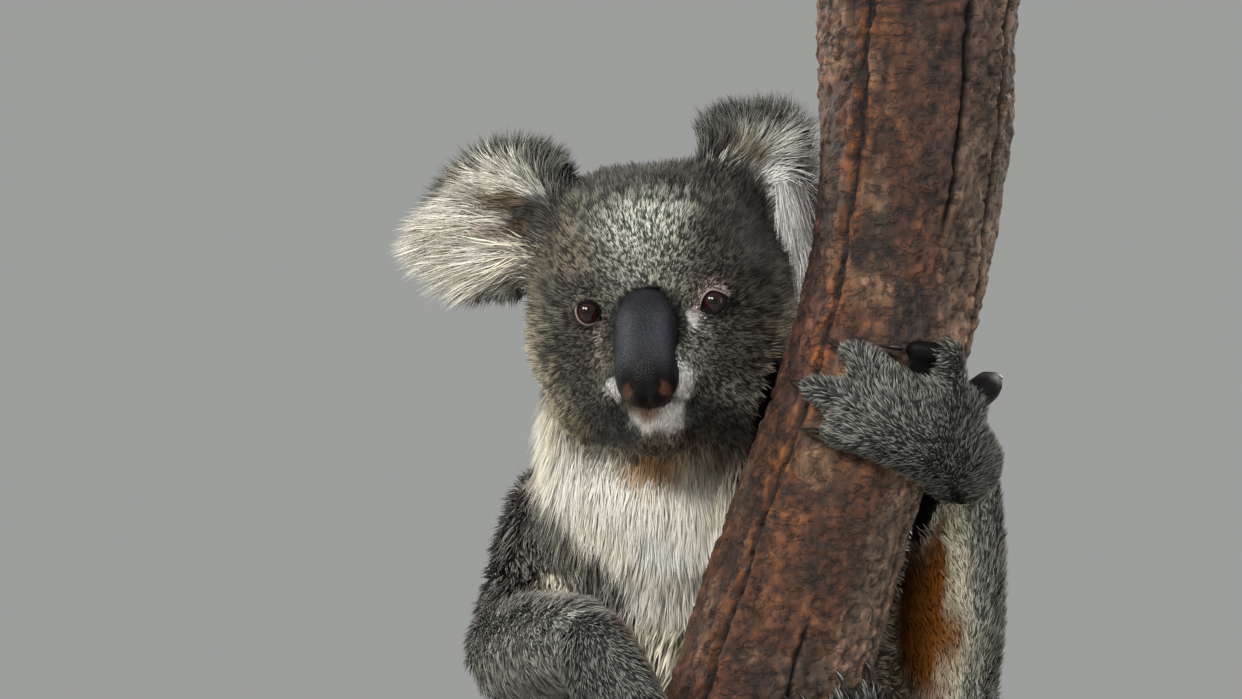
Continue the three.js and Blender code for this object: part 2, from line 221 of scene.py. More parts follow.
def built(name, points, faces):
    """A mesh from its points and faces."""
    mesh = bpy.data.meshes.new(name)
    mesh.from_pydata(np.asarray(points).tolist(), [], [list(face) for face in faces])
    mesh.update()
    return mesh


def lofted(name, rings):
    """A closed mesh over rings of points, the lowest first, with a face in its first and its last ring."""
    rows, around = rings.shape[:2]
    grid = np.arange(rows * around).reshape(rows, around)
    onward = np.roll(grid, -1, axis=1)
    faces = np.stack([grid[:-1], onward[:-1], onward[1:], grid[1:]], axis=-1).reshape(-1, 4).tolist()
    return built(name, rings.reshape(-1, 3), faces + [grid[0][::-1].tolist(), grid[-1].tolist()])


def linked(name, data):
    """A new object in the scene."""
    obj = bpy.data.objects.new(name, data)
    bpy.context.scene.collection.objects.link(obj)
    return obj


def piece(name, mesh, replaced=(), smooth=True, at=None):
    """A mesh as a piece that rides on the body and stands for some solids.
    Smooth is one value or one for each face."""
    obj = linked(name, mesh)
    mesh.polygons.foreach_set("use_smooth", np.full(len(mesh.polygons), smooth))
    if at:
        obj.matrix_world = at
    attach(obj, BODY)
    if replaced:
        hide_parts(*replaced)
    return obj


def modified(mesh, modifier, **settings):
    """A mesh after a modifier."""
    obj = linked(mesh.name, mesh)
    added = obj.modifiers.new(mesh.name, modifier)
    for name, value in settings.items():
        setattr(added, name, value)
    bpy.context.view_layer.update()
    made = bpy.data.meshes.new_from_object(obj.evaluated_get(bpy.context.evaluated_depsgraph_get()))
    bpy.data.objects.remove(obj)
    return made


class Weave:
    """Which points of a mesh are joined by edges, for averages over neighbours."""

    def __init__(self, mesh):
        edges = numbers(mesh.edges, "vertices", 2, int)
        both = np.concatenate([edges, edges[:, ::-1]])
        both = both[np.argsort(both[:, 0], kind="stable")]
        self.targets = both[:, 1]
        self.starts = np.searchsorted(both[:, 0], np.arange(len(mesh.vertices)))
        self.counts = np.diff(np.append(self.starts, len(both)))

    def averaged(self, values, rounds=1, share=0.5):
        """Values, one or a row for each point, drawn towards their neighbours' average."""
        counts = self.counts.reshape(-1, *[1] * (values.ndim - 1))
        for _ in range(rounds):
            around = np.add.reduceat(values[self.targets], self.starts) / counts
            values = values + share * (around - values)
        return values

    def smoothed(self, points, rounds):
        """Points with their unevenness gone and little loss of size."""
        for _ in range(rounds):
            points = self.averaged(points, 1, 0.6)
            points = self.averaged(points, 1, -0.53)
        return points


# ---------------------------------------------------------------- the coat's measures

EAR_FLESH = 0.72        # an ear's flesh against the reach of its hair
EAR_RADIUS = 43.5       # of the ear with its hair, in mm
EAR_ROOT = {"ear_left": from_head((36, 8, 46)), "ear_right": from_head((-44, 6, 44))}
EAR_MIDDLE = {ear: root + EAR_FLESH * (middle(ear) - root) for ear, root in EAR_ROOT.items()}
EAR_HAIR = {"ear_left": (22, 31), "ear_right": (21, 36)}  # its length at an ear's rim and inside it, in mm

# For each part: how deep the coat is, how long and wide a tuft is, all in mm, how many degrees it lifts
# off the skin, and how many tufts grow on a square millimetre.
COAT = {
    "head": (5.0, 8.0, 0.46, 30, 4.15),
    "neck": (12.0, 21.0, 0.64, 32, 1.05),
    "torso": (11.0, 21.0, 1.4, 28, 0.18),
    "ear": (3.0, 17.0, 0.5, 24, 2.1),
    "upper_arm": (8.0, 13.0, 0.9, 28, 0.42),
    "forearm": (4.5, 9.0, 0.7, 26, 0.78),
    "thigh": (10.0, 19.0, 1.4, 28, 0.19),
    "shank": (8.0, 15.0, 1.2, 28, 0.27),
    "hand": (2.4, 5.2, 0.62, 28, 1.25),
    "foot": (2.6, 7.0, 0.95, 26, 0.37),
}
MEASURES = ("depth", "length", "width", "lift", "density")
NOSE_FRONT = (0, -58, -12)               # in the head's frame, in mm
# The head's own coat, by how far it is from the nose: from where to where a measure grows, what it is at
# the nose and how much more at the end, all in mm.
HEAD_COAT = {"length": (36, 108, 2.9, 9.0), "depth": (32, 108, 1.3, 7.2)}
# Likewise from where to where, and by what share of itself another measure grows or shrinks.
HEAD_TUFTS = {"width": (60, 105, 1.1), "density": (58, 98, -0.84)}
TEMPLE = ((54, 4), (12, 22))             # an oval of long hair at each side of the head, in mm
TEMPLE_LONGER, TEMPLE_LIFT = 7 * MM, math.radians(22)  # how much longer and steeper it is
FOREHEAD = ((0, 36), (34, 28))           # likewise an oval of hair that only stands up more
FOREHEAD_LIFT = math.radians(16)
HOLLOWS = {"ear_right": ((-58, 48), (13, 12)), "ear_left": ((38, 54), (18, 13))}  # ovals of short hair
HOLLOW_HAIR = 8                          # its length, in mm


def kind(node):
    """A part's name without its side."""
    return node.removesuffix("_left").removesuffix("_right")


COAT_ROWS = np.array([COAT[kind(node)] for node in FLESH]) * (MM, MM, MM, math.pi / 180, 1)


def share_of(shares, *nodes):
    """How much of each point belongs to some parts."""
    return shares[:, [FLESH.index(node) for node in nodes]].sum(1)


def parts_of(shares):
    """Each part, which points belong to it at least a little, and how much of them does."""
    for index, node in enumerate(FLESH):
        used = np.flatnonzero(shares[:, index] > 0.001)
        yield node, used, shares[used, index, None]


def nose_reach(points):
    """How far points are from the nose, in mm."""
    return np.linalg.norm(in_head(points) - NOSE_FRONT, axis=1)


def ear_place(points, normals, ear):
    """Where points of an ear's flesh lie: across and up from its middle as shares of its radius, and how far
    they face forward."""
    across, _, up = ((points - EAR_MIDDLE[ear]) @ HEAD_AXES.T).T / (EAR_FLESH * EAR_RADIUS * MM)
    return across, up, step(-0.1, 0.35, forward(normals))


def ear_rim(across, up, ear):
    """1 along the upper rim of an ear, by the place across and up it, and 0 elsewhere."""
    leaning = up + 0.35 * across if ear == "ear_right" else up - 0.2 * across
    return step(0.72, 0.86, np.hypot(across, up)) * step(-0.1, 0.35, leaning)


def oval(local, place, size, lean=0.0, soft=0.35):
    """1 inside an oval in the head's x and z, and 0 outside it. Lean is in degrees, the rest in mm."""
    x, z = local[:, 0] - place[0], local[:, 2] - place[1]
    turn = math.radians(lean)
    along = (x * math.cos(turn) + z * math.sin(turn)) / size[0]
    over = (z * math.cos(turn) - x * math.sin(turn)) / size[1]
    return step(1 + soft, 1 - soft, np.hypot(along, over))


def ear_hair(points, normals, local, ear):
    """How long the hair of an ear is, in mm."""
    across, up, inside = ear_place(points, normals, ear)
    rim, inner = EAR_HAIR[ear]
    deep = inside * step(0.9, 0.66, np.hypot(across, up))
    if ear == "ear_left":
        deep = deep * (1 + 0.3 * step(50, 35, local[:, 2]))
        rim = rim + 18 * step(-0.1, 0.6, across) * step(0.0, 0.5, up)
        inner = inner - 9 * step(56, 50, local[:, 0]) - 22 * step(65, 70, local[:, 0])
    else:
        rim = rim - 8 * step(-0.7, -0.2, across) * step(-0.2, -0.6, up)
        inner = inner - 20 * step(0.2, 0.6, up)
    length = rim + (inner - rim) * deep
    return length + (HOLLOW_HAIR - length) * inside * oval(local, *HOLLOWS[ear], soft=0.5)


def coat_measures(points, normals, shares):
    """The coat's measures at points of the skin, by the share that each part has there."""
    rows = dict(zip(MEASURES, (shares @ COAT_ROWS).T))
    local = in_head(points)
    head = share_of(shares, "head")
    reach = nose_reach(points)
    for name, (low, high, least, more) in HEAD_COAT.items():
        rows[name] = rows[name] * (1 - head) + head * (least + more * step(low, high, reach)) * MM
    for name, (low, high, more) in HEAD_TUFTS.items():
        rows[name] *= 1 + more * head * step(low, high, reach)
    temples = head * oval(np.abs(local), *TEMPLE, soft=0.6)
    rows["length"] += TEMPLE_LONGER * temples
    rows["lift"] += TEMPLE_LIFT * temples
    rows["lift"] += FOREHEAD_LIFT * head * oval(local, *FOREHEAD, soft=0.5)
    for ear in EARS:
        longer = ear_hair(points, normals, local, ear) - COAT["ear"][1]
        rows["length"] += share_of(shares, ear) * longer * MM
    return rows


# ---------------------------------------------------------------- the skin

JOINING = 0.7 * MM      # how far each solid grows, so that thin gaps between them close
VOXEL = 2.8 * MM
EYE_RINGS = (22 * MM, 15 * MM, 11 * MM)  # how far round an eye the skin is made finer, once for each
NOSE_RING = 34 * MM     # the same round the nose
PALM_REACH = 5 * MM     # skin this near to the bark holds it, and is bare
SHARE_ROUNDS = 14       # how often the parts' shares are blended over neighbouring points
NAPE_ROUNDS = 70        # how often the nape is evened out, where the neck runs into the back
HELD_DEPTH = 0.85       # how much of the coat's depth is missing where the skin holds the bark
UNDER_NOSE = 3 * MM     # how much deeper the skin lies under the nose


def gathered(nodes, grow):
    """Some solids, grown a little, as one set of points and triangles, with each triangle's solid. An ear's
    solid shrinks to its flesh."""
    points, faces, owners = [], [], []
    count = 0
    for index, node in enumerate(nodes):
        places, normals, triangles = welded(node)
        places = places + normals * grow
        if node in EAR_ROOT:
            places = EAR_ROOT[node] + EAR_FLESH * (places - EAR_ROOT[node])
        points.append(places)
        faces.append(triangles + count)
        owners += [index] * len(triangles)
        count += len(places)
    return np.concatenate(points), np.concatenate(faces), np.array(owners)


def refined(mesh, place, reach):
    """Halves a mesh's edges near a place."""
    shape = bmesh.new()
    shape.from_mesh(mesh)
    centre = Vector(place)
    near = [e for e in shape.edges if (e.verts[0].co - centre).length < reach]
    bmesh.ops.subdivide_edges(shape, edges=near, cuts=1, use_grid_fill=True)
    shape.to_mesh(mesh)
    shape.free()


def part_shares(mesh, tree, owners, weave):
    """For each point of the skin, the share of each part, blending over a few millimetres, and where the
    nose covers it."""
    nearest = owners[[tree.find_nearest(vertex.co)[2] for vertex in mesh.vertices]]
    of_head = np.where(nearest < len(FLESH), nearest, FLESH.index("head"))
    under_nose = (nearest == SOLIDS.index("nose")).astype(float)
    return weave.averaged(np.eye(len(FLESH))[of_head], SHARE_ROUNDS), weave.averaged(under_nose)


def with_nape(places, shares, normals, weave):
    """Skin points and part shares where the neck runs smoothly into the back and carries the back's coat."""
    neck, torso = FLESH.index("neck"), FLESH.index("torso")
    wide = weave.averaged(shares, NAPE_ROUNDS, 0.9)
    backward = weave.averaged(normals[:, 1], 20)
    nape = step(0.1, 0.5, 4 * wide[:, neck] * wide[:, torso]) * step(-0.1, 0.4, backward)
    places = mixed(places, weave.averaged(places, NAPE_ROUNDS, 0.9), nape)
    shares = mixed(shares, wide, nape)
    passed = shares[:, neck] * step(0.2, 0.7, backward)
    shares[:, torso] += passed
    shares[:, neck] -= passed
    return places, shares


def skin_mesh():
    """The skin, inside the solids by the coat's depth, with each point's part shares, its neighbours and
    how bare it is from holding the perch or from lying under the nose."""
    points, faces, owners = gathered(SOLIDS, JOINING)
    mesh = modified(built("joined", points, faces), "REMESH", mode="VOXEL", voxel_size=VOXEL)
    moved(mesh, Weave(mesh).smoothed(numbers(mesh.vertices, "co", 3), 10))
    for side in SIDES:
        for reach in EYE_RINGS:
            refined(mesh, EYE_AT[side], reach)
    refined(mesh, middle("nose"), NOSE_RING)
    tree = BVHTree.FromPolygons(points.tolist(), faces.tolist())
    weave = Weave(mesh)
    shares, under_nose = part_shares(mesh, tree, owners, weave)
    normals = unit(weave.averaged(point_normals(mesh), 6))
    places, shares = with_nape(numbers(mesh.vertices, "co", 3), shares, normals, weave)
    gap, inward = perch_gap(places)
    holding = (1 - step(PALM_REACH, 2 * PALM_REACH, gap)) * step(0.1, 0.6, (normals * inward).sum(1))
    depth = weave.averaged(coat_measures(places, normals, shares)["depth"], 6)
    sunk = depth * (1 - HELD_DEPTH * holding) + UNDER_NOSE * step(0.6, 1, under_nose)
    places = weave.smoothed(places - normals * sunk[:, None], 5)
    moved(mesh, with_lids(with_mouth(places, normals)))
    return mesh, shares, weave, np.maximum(holding, step(0.2, 0.8, under_nose))


# ---------------------------------------------------------------- lids and mouth

# Each eye's opening: how many degrees it leans down to its inner corner, half its width and height, how far
# across and up its middle is from the eye's, and from where to where its lid is pale, beyond its edge. All
# but the degrees are in mm.
LIDS = {
    "left": (29, 5.4, 4.4, (0.8, 0.2), (0.9, 3.0)),
    "right": (40, 5.3, 4.7, (0.8, -0.4), (0.6, 1.4)),
}
LID_THICK = 1.05 * MM
LID_DROP = 3.2 * MM     # how far below the eyeball's surface the skin lies inside the opening
LID_REACH = (2.6 * MM, 8.5 * MM)  # from where to where, beyond its edge, a lid runs out into the face
FOLD_FROM_EDGE, FOLD_WIDE, FOLD_DEEP = 3.2 * MM, 0.7 * MM, 0.9 * MM  # the crease in the upper lid


def lid_margin(points, side):
    """How far points are outside the opening between an eye's lids, which is below 0 inside it, how far they
    are from the eye's middle, and how far above the line from one corner of the opening to the other."""
    lean, wide, high, shift, _ = LIDS[side]
    lean, wide, high = math.radians(lean), wide * MM, high * MM
    outward = 1 if side == "left" else -1
    local = (points - EYE_AT[side]) @ HEAD_AXES.T
    radius = np.linalg.norm(local, axis=1)
    ahead = np.maximum(-local[:, 1], 1e-6)
    across = outward * (np.arctan2(local[:, 0], ahead) * EYE_RADIUS - shift[0] * MM)
    upward = np.arctan2(local[:, 2], ahead) * EYE_RADIUS - shift[1] * MM
    along = across * math.cos(lean) + upward * math.sin(lean)
    over = -across * math.sin(lean) + upward * math.cos(lean)
    inner = along < 0
    width = np.where(inner, 1.2, 1.0) * wide
    height = high * (1 - np.where(inner, 0.5, 0.25) * np.minimum((along / width) ** 2, 1))
    ring = np.sqrt((along / width) ** 2 + (over / height) ** 2)
    over_ball = (local[:, 1] < 0) & (radius < 2 * EYE_RADIUS)
    return np.where(over_ball, (ring - 1) * high, 20 * MM), radius, over


def with_lids(points):
    """Skin points drawn over the eyeballs as lids, with an opening that drops behind each ball's front."""
    for side in SIDES:
        margin, radius, over = lid_margin(points, side)
        fold = FOLD_DEEP * bell(margin - FOLD_FROM_EDGE, FOLD_WIDE) * step(0, 3 * MM, over)
        lid = EYE_RADIUS + LID_THICK * step(-0.4 * MM, 0.35 * MM, margin) - fold
        lid = lid - LID_DROP * (1 - step(-0.9 * MM, -0.1 * MM, margin))
        hold = 1 - step(*LID_REACH, margin)
        direction = (points - EYE_AT[side]) / np.maximum(radius, 1e-9)[:, None]
        points = mixed(points, EYE_AT[side] + direction * lid[:, None], hold)
    return points


MOUTH_LOW, MOUTH_CURVE, MOUTH_HALF = -60.0, 0.045, 20.0  # the mouth's line on the head's front, in mm
MOUTH_AT = (0, -50, -50)  # in the head's frame, in mm
GROOVE_DEEP, GROOVE_WIDE = 2.4 * MM, 2.2  # between the lips, its width in mm


def mouth_gap(local):
    """How far points in the head's frame are from the line between the lips, in mm."""
    line = MOUTH_LOW + MOUTH_CURVE * local[:, 0] ** 2
    beyond = np.maximum(np.abs(local[:, 0]) - MOUTH_HALF, 0)
    return np.hypot((local[:, 2] - line) * 0.75, beyond) + 20 * step(-22, -12, local[:, 1])


def with_mouth(points, normals):
    """Skin points with a groove where the lips meet."""
    local = in_head(points)
    near = step(60, 50, np.linalg.norm(local - MOUTH_AT, axis=1))
    return points - normals * (GROOVE_DEEP * near * bell(mouth_gap(local), GROOVE_WIDE))[:, None]


# ---------------------------------------------------------------- markings

SILVER, GREY, DARK, BLACK = tone(178, 178, 166), tone(82, 78, 67), tone(40, 37, 31), tone(13, 11, 10)
OLIVE, BROWN, WHITE, CREAM = tone(110, 103, 83), tone(98, 80, 58), tone(240, 238, 230), tone(234, 225, 198)
RUST, PINK, BACK, RUMP = tone(158, 96, 32), tone(172, 150, 142), tone(104, 98, 88), tone(150, 142, 128)
GOLD, CROWN, THROAT = tone(142, 131, 104), tone(46, 41, 31), tone(176, 122, 54)
SHADOW, FAWN, BLUSH = tone(36, 30, 25), tone(132, 122, 108), tone(140, 104, 90)
EAR_BACK, PAW, PALM = tone(80, 76, 68), tone(70, 69, 66), tone(120, 84, 52)

# Markings on the head's front, and painted shade at an ear's base and beside the mouth, painted in turn:
# the colour, how strong it is, where its middle is across and up the head and its half sizes in mm, its lean
# in degrees and how soft its edge is.
HEAD_SPOTS = (
    (SILVER, 0.40, (0, 24), (16, 18), 0, 0.8),
    (SILVER, 0.72, (2, 42), (19, 11), 0, 0.9),
    (BROWN * 0.8, 0.40, (-37, 30), (8, 16), 20, 0.6),
    (DARK, 0.88, (45, 38), (22, 30), 0, 0.6),
    (SHADOW, 0.92, (-48, 50), (11, 18), 0, 0.5),
    (DARK * 0.85, 0.95, (0, 66), (56, 15), 0, 0.6),
    (DARK, 0.80, (-37, -18), (11, 20), 0, 0.6),
    (DARK, 0.70, (38, -18), (13, 18), 0, 0.6),
    (DARK, 0.50, (-33, 14), (13, 6), 0, 0.6),
    (DARK, 0.50, (32, 16), (13, 6), 0, 0.6),
    (GOLD, 0.60, (-57, -22), (10, 30), 0, 0.6),
    (GOLD, 0.30, (57, -22), (9, 30), 0, 0.6),
    (FAWN, 0.40, (-23, -17), (3, 11), 0, 0.6),
    (SILVER, 0.30, (21, -20), (7, 12), 0, 0.6),
    (SILVER, 0.45, (33, -44), (8, 6), 0, 0.6),
    # Painted shade beside the mouth, on both sides.
    (DARK, 0.85, (-29, -50), (13, 10), 30, 0.5),
    (DARK, 0.85, (29, -52), (13, 10), -30, 0.5),
    (GOLD, 0.70, (-45, -50), (9, 13), 30, 0.6),
    (WHITE, 0.95, (-18.5, -35), (4, 5), 0, 0.35),
    (WHITE, 0.97, (13.5, -32), (6, 9), 15, 0.4),
    (WHITE, 0.97, (2.5, -49.5), (14.5, 7.5), 0, 0.3),
    (BLACK, 0.98, (-16, -52), (14, 4.6), -42, 0.35),
    (BLACK, 0.97, (16, -51), (11, 3.6), 72, 0.35),
    (BLUSH * (1.0, 0.85, 0.8), 0.90, (-3, -47), (6.5, 4.5), 0, 0.6),
    (BROWN * 0.6, 0.75, (4, -62), (15, 6), 0, 0.5),
    (WHITE, 0.97, (20.3, -5), (3.6, 4.6), 0, 0.35),
    (FAWN, 0.70, (-24, -6), (2.5, 3.5), 0, 0.5),
)
FRINGE_AT, FRINGE_RADIUS = (-1.3, -9), (17.0, 19.5)  # black fur round the nose, partly painted shade where it meets the nose: its middle and edge, in mm
PLAIN = (((0, -49), (19, 11)), ((0, -33), (21, 9)), ((20, -5), (4, 5)))  # ovals without mixed-in dark hairs

# Markings inside each ear, with painted shade in its hollows and on the side that faces the trunk, likewise
# but upright and all with the same soft edge.
EAR_SPOTS = {
    "ear_right": (
        (BROWN, 0.50, (-93, 64), (11, 4)),
        (BROWN, 0.95, (-74, 58), (16, 5)),
        (SHADOW, 0.98, (-58, 47), (15, 13)),
        (BLUSH, 0.60, (-84, 43), (10, 4)),
        (BROWN * 0.7, 0.90, (-68, 44), (9, 4)),
        (CREAM, 1.00, (-68, 31), (11, 5.5)),
        (SHADOW, 0.85, (-68, 22.5), (13, 2.2)),
        (SHADOW, 0.75, (-100, 16), (13, 2.5)),
    ),
    "ear_left": (
        # Olive hair low in the left ear, partly painted shade.
        (OLIVE, 0.90, (48, 73), (11, 6)),
        # Painted shade in the hollow beside the head.
        (DARK, 0.95, (42, 46), (14, 20)),
        (WHITE, 1.00, (57, 88), (12, 6)),
        (0.9 * WHITE, 1.00, (60.5, 38), (6.5, 52)),
        # Painted shade on the side that faces the trunk.
        (DARK, 0.95, (76, 40), (11, 95)),
    ),
}


def head_colour(points):
    """The colour of the head's fur, how strongly light and dark hairs mix in it, and its tips' frosting."""
    local = in_head(points)
    x, y, z = local.T
    front = step(38, 12, y)
    ragged = local + 5 * (noise(points, 5, 2) - 0.5)[:, None]
    colour = mixed(GREY, OLIVE, 0.75 * step(36, 58, np.abs(x) + 18 * (noise(points, 9, 1) - 0.5)))
    colour = mixed(colour, CROWN, step(5, 20, y))
    colour = mixed(colour, BACK, step(30, 60, y))
    for hue, strength, place, size, lean, soft in HEAD_SPOTS:
        colour = mixed(colour, hue, strength * front * oval(ragged, place, size, lean, soft))
    fringe = 1 - step(*FRINGE_RADIUS, np.hypot(x - FRINGE_AT[0], (z - FRINGE_AT[1]) * 0.97))
    # Black fur round the lower nose, partly painted shade where the fur meets it.
    colour = mixed(colour, BLACK, 0.95 * fringe * step(-20, -8, z) * step(20, 0, y))
    margin, _, over = lid_margin(points, "left")
    ring = step(0, 1.5 * MM, margin) * step(6 * MM, 3.5 * MM, margin) * step(-2 * MM, 1 * MM, over)
    colour = mixed(colour, PINK, 0.6 * ring)
    plain = np.minimum(sum(oval(local, *spot) for spot in PLAIN), 1)
    return colour, 1 - 0.85 * plain * front, 0.12


def ear_colour(points, seen, normals, ear):
    """The colour of an ear's hair, by where it shows: dark behind and along the upper rim, pale inside with
    painted shade in its hollows."""
    across, up, inside = ear_place(points, normals, ear)
    ragged = noise(points, 5, 2) - 0.5
    local = in_head(seen) + 6 * ragged[:, None]
    locks = noise(points, 4, 3, 1.6)
    within = mixed(CREAM, WHITE, locks) * (0.55 + 0.5 * locks)[:, None]
    for hue, strength, place, size in EAR_SPOTS[ear]:
        within = mixed(within, hue, strength * oval(local, place, size, soft=0.45))
    behind = mixed(EAR_BACK, within, step(0.0, -0.6, up))
    rim = ear_rim(across, up + 0.2 * ragged, ear)
    colour = mixed(mixed(behind, DARK, 0.8 * rim), mixed(within, DARK * 0.8, 0.97 * rim), inside)
    return colour, 0.3 + 0.4 * rim, 0.4 * rim + 0.2 * (1 - inside) * (1 - rim)


SHOULDER = (-61, -77, -24)  # in the head's frame, in mm: across and up to the grey shoulder's slanting edge,
                            # and across to its upright edge


def shoulder(points):
    """1 on the chest's right side, where the arm's grey coat covers it, and 0 on its pale front."""
    x, _, z = (in_head(points) + 8 * (noise(points, 9, 3)[:, None] - 0.5)).T
    above = (SHOULDER[0] - x) * 0.72 + (SHOULDER[1] - z) * 0.70
    return step(-4, 4, np.minimum(above, SHOULDER[2] - x))


def height_in(node, points):
    """How high points are in a solid's box, from 0 to 1."""
    low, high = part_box(node)
    return (points[:, 2] - low.z) / (high.z - low.z)


def torso_colour(points, colour, pale):
    """The trunk's markings: mottled at the rump, cream in front and grey at the right shoulder."""
    blotch = step(-0.12, 0.2, noise(points, 12, 5) - 0.5)
    colour = mixed(colour, RUMP, step(0.42, 0.12, height_in("torso", points)) * (0.35 + 0.65 * blotch))
    flank = shoulder(points)
    return mixed(mixed(colour, CREAM, pale), DARK, 0.8 * flank), 0.45 + 0.3 * flank, 0.3


def neck_colour(points, normals, colour, patchy):
    """The neck's markings: a cream ruff in front, rust under the chin, and painted shade in brown under the
    jaw.
    """
    local = in_head(points)
    in_front = step(0.45, -0.05, normals[:, 1] + 0.2 * patchy)
    colour = mixed(colour, 1.05 * mixed(CREAM, WHITE, noise(points, 18, 5)), in_front)
    # Painted shade, in brown, under the jaw on the side by the trunk.
    colour = mixed(colour, BROWN, 0.85 * in_front * oval(local, (30, -68), (24, 13), -15, 0.7))
    colour = mixed(colour, THROAT, 0.9 * oval(local, (-6, -68), (14, 6), 0, 0.7))
    flank = shoulder(points)
    grizzle = 0.45 * (1 - in_front) + 0.75 * flank
    return mixed(colour, DARK, 0.8 * flank), grizzle, 0.3 * (1 - in_front)


def forearm_colour(points, normals, colour, patchy):
    """The forearms' markings: silvery in front, and cream turning to rust where they face the perch."""
    gap, inward = perch_gap(points)
    turned_in = (normals * inward).sum(1)
    colour = mixed(colour, SILVER, 0.4 + 0.45 * step(0.2, 0.8, -normals[:, 1]))
    inner = mixed(CREAM, 0.85 * RUST, step(0.05, 0.5, turned_in + 0.4 * patchy))
    within = step(-0.35, 0.1, turned_in + 0.2 * patchy) * step(0, 20 * MM, -inward[:, 0] * gap)
    colour = mixed(colour, inner, within)
    colour = mixed(colour, WHITE, 0.85 * step(0.25, 0.02, height_in("forearm_left", points)))
    return colour, 0.5 - 0.35 * within, 0.35 * (1 - within)


def body_colour(points, normals, part):
    """The colour of the fur of the trunk and limbs: grey outside, and pale where it faces the perch. Also how
    strongly light and dark hairs mix in it, and how frosted its tips are."""
    turned_in = (normals * perch_gap(points)[1]).sum(1)
    patchy = noise(points, 22, 4) - 0.5
    colour = mixed(BACK, DARK, 0.5 * step(0.05, 0.4, patchy))
    pale = step(0.05, 0.55, turned_in + 0.3 * patchy)
    if part == "torso":
        return torso_colour(points, colour, pale)
    if part == "neck":
        return neck_colour(points, normals, colour, patchy)
    if part == "forearm":
        return forearm_colour(points, normals, colour, patchy)
    if part == "upper_arm":
        return mixed(mixed(colour, DARK, 0.6), CREAM, pale * step(0.2, 0.8, turned_in)), 0.75, 0.3
    if part in ("hand", "foot"):
        return mixed(PAW, PALM, 0.7 * pale), 1.3, 0.5
    return mixed(colour, CREAM, pale), 0.45, 0.3


def coat_colour(points, seen, normals, shares):
    """The markings' colour anywhere on the skin, how strongly light and dark hairs mix there, and how
    frosted their tips are. Long hair has the colour of the place where it shows."""
    looks = np.zeros((len(points), 5))
    for node, used, share in parts_of(shares):
        if node == "head":
            colour, grizzle, frost = head_colour(points[used])
        elif node in EARS:
            colour, grizzle, frost = ear_colour(points[used], seen[used], normals[used], node)
        else:
            colour, grizzle, frost = body_colour(points[used], normals[used], kind(node))
        rows = np.column_stack([colour, np.zeros(len(used)) + grizzle, np.zeros(len(used)) + frost])
        looks[used] += share * rows
    looks /= shares.sum(1)[:, None]
    return looks[:, :3], looks[:, 3], looks[:, 4]


# ---------------------------------------------------------------- bare skin

# Bare pads of the left hand: the claw beside each, the pad's place from it and its radius.
PADS = (
    ("claw_hand_left_1", np.array((-4, -19, -3)) * MM, 21 * MM),
    ("claw_hand_left_2", np.array((13, 3, -3)) * MM, 13.5 * MM),
)
BARE = tone(9, 8, 8)


def bareness(points, holding):
    """1 where no fur grows: over the eyes, under the nose and on the paws' gripping side."""
    bare = holding.copy()
    for side in SIDES:
        bare = np.maximum(bare, 1 - step(1.2 * MM, 2.2 * MM, lid_margin(points, side)[0]))
    for claw, offset, reach in PADS:
        away = np.linalg.norm(points - middle(claw) - offset, axis=1)
        bare = np.maximum(bare, step(reach, 0.9 * reach, away))
    return bare


def skin_colour(points, normals, shares, holding):
    """The skin: the coat's markings darkened as painted shade under the fur, black pads and lid rims, pale
    lids.
    """
    colour, _, _ = coat_colour(points, points, normals, shares)
    # The coat's colour at 0.6 is painted shade under the fur; the bare parts are black skin.
    colour = mixed(0.6 * colour, BARE, bareness(points, holding))
    for side in SIDES:
        margin, _, over = lid_margin(points, side)
        low, high = np.array(LIDS[side][4]) * MM
        lid = step(low - 0.2 * MM, low + 0.2 * MM, margin) * step(high + 0.5 * MM, high - 0.3 * MM, margin)
        shown = step(-0.5 * MM, 2.5 * MM, over if side == "left" else -over)
        colour = mixed(colour, PINK, 0.85 * lid * shown)
    return colour


# ---------------------------------------------------------------- the lie of the coat

NEXT_PART = {"upper_arm": "forearm", "forearm": "hand", "thigh": "shank", "shank": "foot"}
NOSE_MIDDLE = from_head((0, -44, -12))
CLAW_PULL = 11 * MM     # how far a claw's pull on the lie of a paw's hair reaches
LID_PULL = 4 * MM       # how far from its lids an eye turns the hair outward


def lie_on_paw(points, paw):
    """From the wrist towards the nearest claws."""
    total = np.zeros_like(points)
    for claw in CLAWS[paw]:
        away = middle(claw) - points
        distance = np.linalg.norm(away, axis=1, keepdims=True)
        total += np.exp(-distance / CLAW_PULL) * unit(away)
    return unit(total)


def lie_of_ear(points, normals, ear):
    """Hair that stands out from an ear's rim and back. Inside, it arches over the top of the right ear and
    streams outward from it, and climbs, arches over and hangs down beside the head from the left one."""
    across, up, inside = ear_place(points, normals, ear)
    outer = unit(points - EAR_MIDDLE[ear])
    within = inside * (1 - ear_rim(across, up, ear))
    if ear == "ear_right":
        level = np.ones(len(points))
        arch = 0.6 * across * step(0.1, 0.6, up)
        inner = np.column_stack([-level, -0.1 * level, 0.1 * up + 0.06 + arch])
    else:
        outer = mixed(outer, HEAD_AXES[2], 0.9 * step(0.3, 0.6, across) * step(0.0, 0.45, up))
        within = step(0.4, 0.65, within)
        falling = step(53, 58, in_head(points)[:, 0])
        inner = mixed(np.array((0.7, -0.1, 0.65)), np.array((-0.02, -0.1, -1.0)), falling)
    return mixed(outer, unit(inner) @ HEAD_AXES, within)


